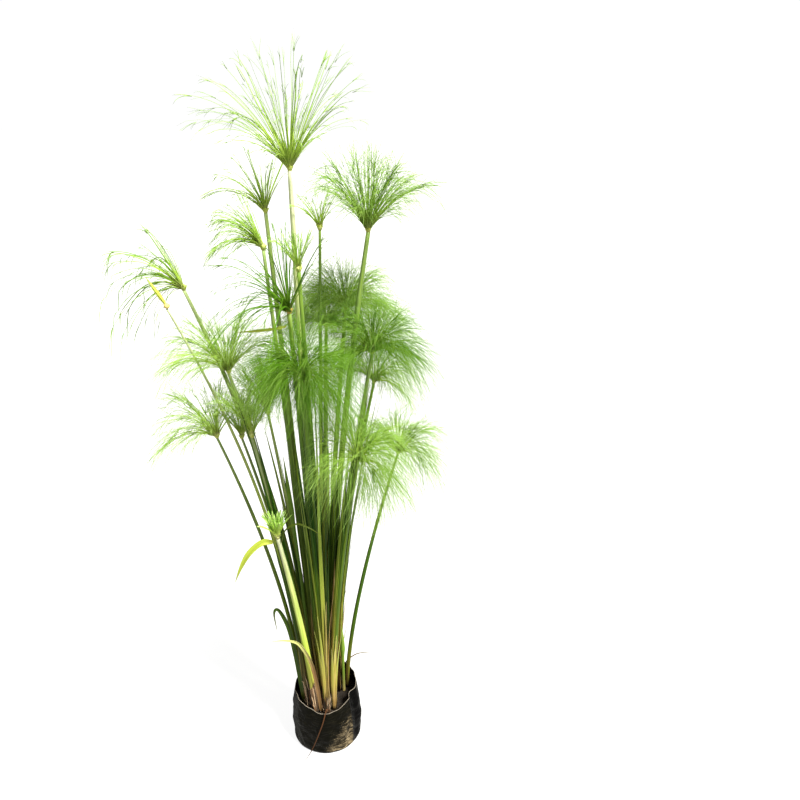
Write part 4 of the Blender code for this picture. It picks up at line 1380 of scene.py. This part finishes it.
def make_blade(blade):
    """Rings across the curve: half width cos a across, thickness sin a up, and the V's raised edges."""
    route = smooth_route(blade.route, BLADE_STATIONS)
    share = np.linspace(0, 1, BLADE_STATIONS)
    forward = unit(np.gradient(route, axis=0))
    across = unit(np.cross(forward, blade.looks))
    up = np.cross(across, forward)
    swell = np.clip(1.15 * np.sin(np.pi * (0.10 + 0.90 * share) ** 0.8), 0.03, 1)
    angle = turns(BLADE_SIDES)
    half = blade.width / 2 * swell[:, None]
    thick = np.minimum(BLADE_THICK, half * 0.5)
    wave = 0.06 * half * np.sin(9 * share + 2 * blade.tint)[:, None]
    lift = thick * np.sin(angle) + half * blade.keel * (np.abs(np.cos(angle)) - 0.4) + wave
    sideways = (half * np.cos(angle))[..., None] * across[:, None]
    rings = route[:, None] + sideways + lift[..., None] * up[:, None]
    return closed_rings(rings[1:-1], route[0], route[-1], share[1:-1], blade.tint)


print("blade of", BLADE_STATIONS, "rings ready")

# %% Finish and make the blades


def make_leaf_finish(name, fresh, tip, foot, dry):
    """Veined blade: colour pairs for fresh, tip and foot, mixed by the tint; dry bounds the foot's fade."""
    material, tree, skin = start_material(name)
    fine, broad = add_lines(tree, 1300.0, 40.0)
    place = attribute(tree, "along")
    own, last, first = (mixed(tree, attribute(tree, "tint"), *pair) for pair in (fresh, tip, foot))
    aged = mixed(tree, spread(tree, place, 0.80, 1.0), own, last)
    footed = mixed(tree, spread(tree, place, *dry), aged, first)
    veined = mixed(tree, spread(tree, fine, 0.0, 1.0, 0.0, 0.5), footed, (0.55, 0.60, 0.40), "MULTIPLY")
    patched = mixed(tree, spread(tree, broad, 0.5, 1.0, 0.0, 0.4), veined, (0.70, 0.60, 0.40), "MULTIPLY")
    dress(tree, skin, patched, spread(tree, fine, 0.0, 1.0, 0.40, 0.58), 0.2)
    raise_lines(tree, skin, fine, 0.4, 0.0005)
    return material


GREEN_LEAF_FINISH = make_leaf_finish(
    "green_blade",
    fresh=((0.042, 0.085, 0.004), (0.60, 0.72, 0.09)), tip=((0.20, 0.20, 0.04), (0.50, 0.56, 0.10)),
    foot=((0.10, 0.08, 0.015), (0.30, 0.34, 0.05)), dry=(0.15, 0.0),
)
DRY_LEAF_FINISH = make_leaf_finish(
    "dry_blade",
    fresh=((0.075, 0.032, 0.014), (0.76, 0.78, 0.28)), tip=((0.20, 0.10, 0.045), (0.66, 0.62, 0.28)),
    foot=((0.11, 0.045, 0.018), (0.42, 0.235, 0.095)), dry=(0.62, 0.30),
)
for blades, finish, slot in (
    (GREEN_BLADES, GREEN_LEAF_FINISH, "green_leaf"), (DRY_BLADES, DRY_LEAF_FINISH, "dry_leaf"),
):
    for name, blade in blades.items():
        patch = make_blade(blade)
        make_piece(name + "_blade", patch, finish, slot, name)
        print(name, triangle_count(patch), "triangles")

# %% [markdown]
# ## Young shoots
# A shoot is a leaf still rolled round the stem inside it: a smooth spear with one spiral edge, three soft
# corners and a point. A cone would look turned on a lathe, so its rings carry a step that winds up the
# spear. Its foot is pale, and the brightest spear is yellow-green.

# %% Where the shoots stand


class Shoot(NamedTuple):
    """Where a shoot stands, its tip, its thickness, the length of its pointed end, and its tint."""

    foot: tuple
    tip: tuple
    thick: float
    spear: float
    tint: float


SHOOTS = {
    "shoot_bright": Shoot((0.026, -0.022), (0.072, -0.045, 0.690), 0.0095, 0.150, 0.9),
    "shoot_left": Shoot((-0.028, -0.030), (-0.062, -0.050, 0.880), 0.0082, 0.200, 0.15),
    "shoot_short": Shoot((0.046, 0.018), (0.053, -0.030, 0.379), 0.0090, 0.120, 0.5),
}
print(len(SHOOTS), "shoots")

# %% Finish and make the shoots
SHOOT_STATIONS = 72
SHOOT_SIDES = 24


def make_shoot_finish():
    """Satin green to yellow-green by tint, straw at the foot, with fine lines."""
    material, tree, skin = start_material("shoot_skin")
    fine, broad = add_lines(tree, 1000.0, 40.0)
    place = attribute(tree, "along")
    bright = ramp(
        tree, place,
        (0.0, (0.40, 0.30, 0.12)), (0.25, (0.26, 0.36, 0.06)), (0.70, (0.34, 0.52, 0.05)),
        (1.0, (0.62, 0.72, 0.14)),
    )
    green = ramp(tree, place, (0.0, (0.30, 0.24, 0.09)), (0.3, (0.10, 0.20, 0.02)), (1.0, (0.16, 0.32, 0.03)))
    own = mixed(tree, attribute(tree, "tint"), green, bright)
    lined = mixed(tree, spread(tree, fine, 0.0, 1.0, 0.0, 0.45), own, (0.62, 0.66, 0.45), "MULTIPLY")
    dress(tree, skin, lined, spread(tree, broad, 0.0, 1.0, 0.36, 0.5), 0.2)
    raise_lines(tree, skin, fine, 0.35, 0.0004)
    return material


def make_shoot(shoot):
    """Rings round the shoot's curve: swollen where the spear starts, three-cornered, with one spiral step."""
    foot = np.array([*shoot.foot, SOIL_TOP + 0.0004])
    tip = np.array(shoot.tip)
    share = np.linspace(0, 1, SHOOT_STATIONS)
    centres = foot + (tip - foot) * np.column_stack([share**1.5, share**1.5, share])
    begin = 1 - shoot.spear / (tip[2] - foot[2])
    places = [0, begin / 3, begin * 2 / 3, begin, begin + 0.25 * (1 - begin), begin + 0.6 * (1 - begin), 1]
    wide = np.interp(share, places, [1, 0.9, 0.85, 0.95, 1.48, 1.0, 0.02])
    angle = turns(SHOOT_SIDES)
    step = ((angle - 5 * share[:, None]) / (2 * np.pi)) % 1
    radius = shoot.thick / 2 * wide[:, None] * (0.94 + 0.10 * step + 0.05 * np.cos(3 * angle))
    rings = centres[:, None] + level(radius, angle)
    return closed_rings(rings[:-1], foot, tip, share[:-1], shoot.tint)


SHOOT_FINISH = make_shoot_finish()
for name, shoot in SHOOTS.items():
    patch = make_shoot(shoot)
    make_piece(name + "_spear", patch, SHOOT_FINISH, "shoot", name)
    print(name, triangle_count(patch), "triangles")
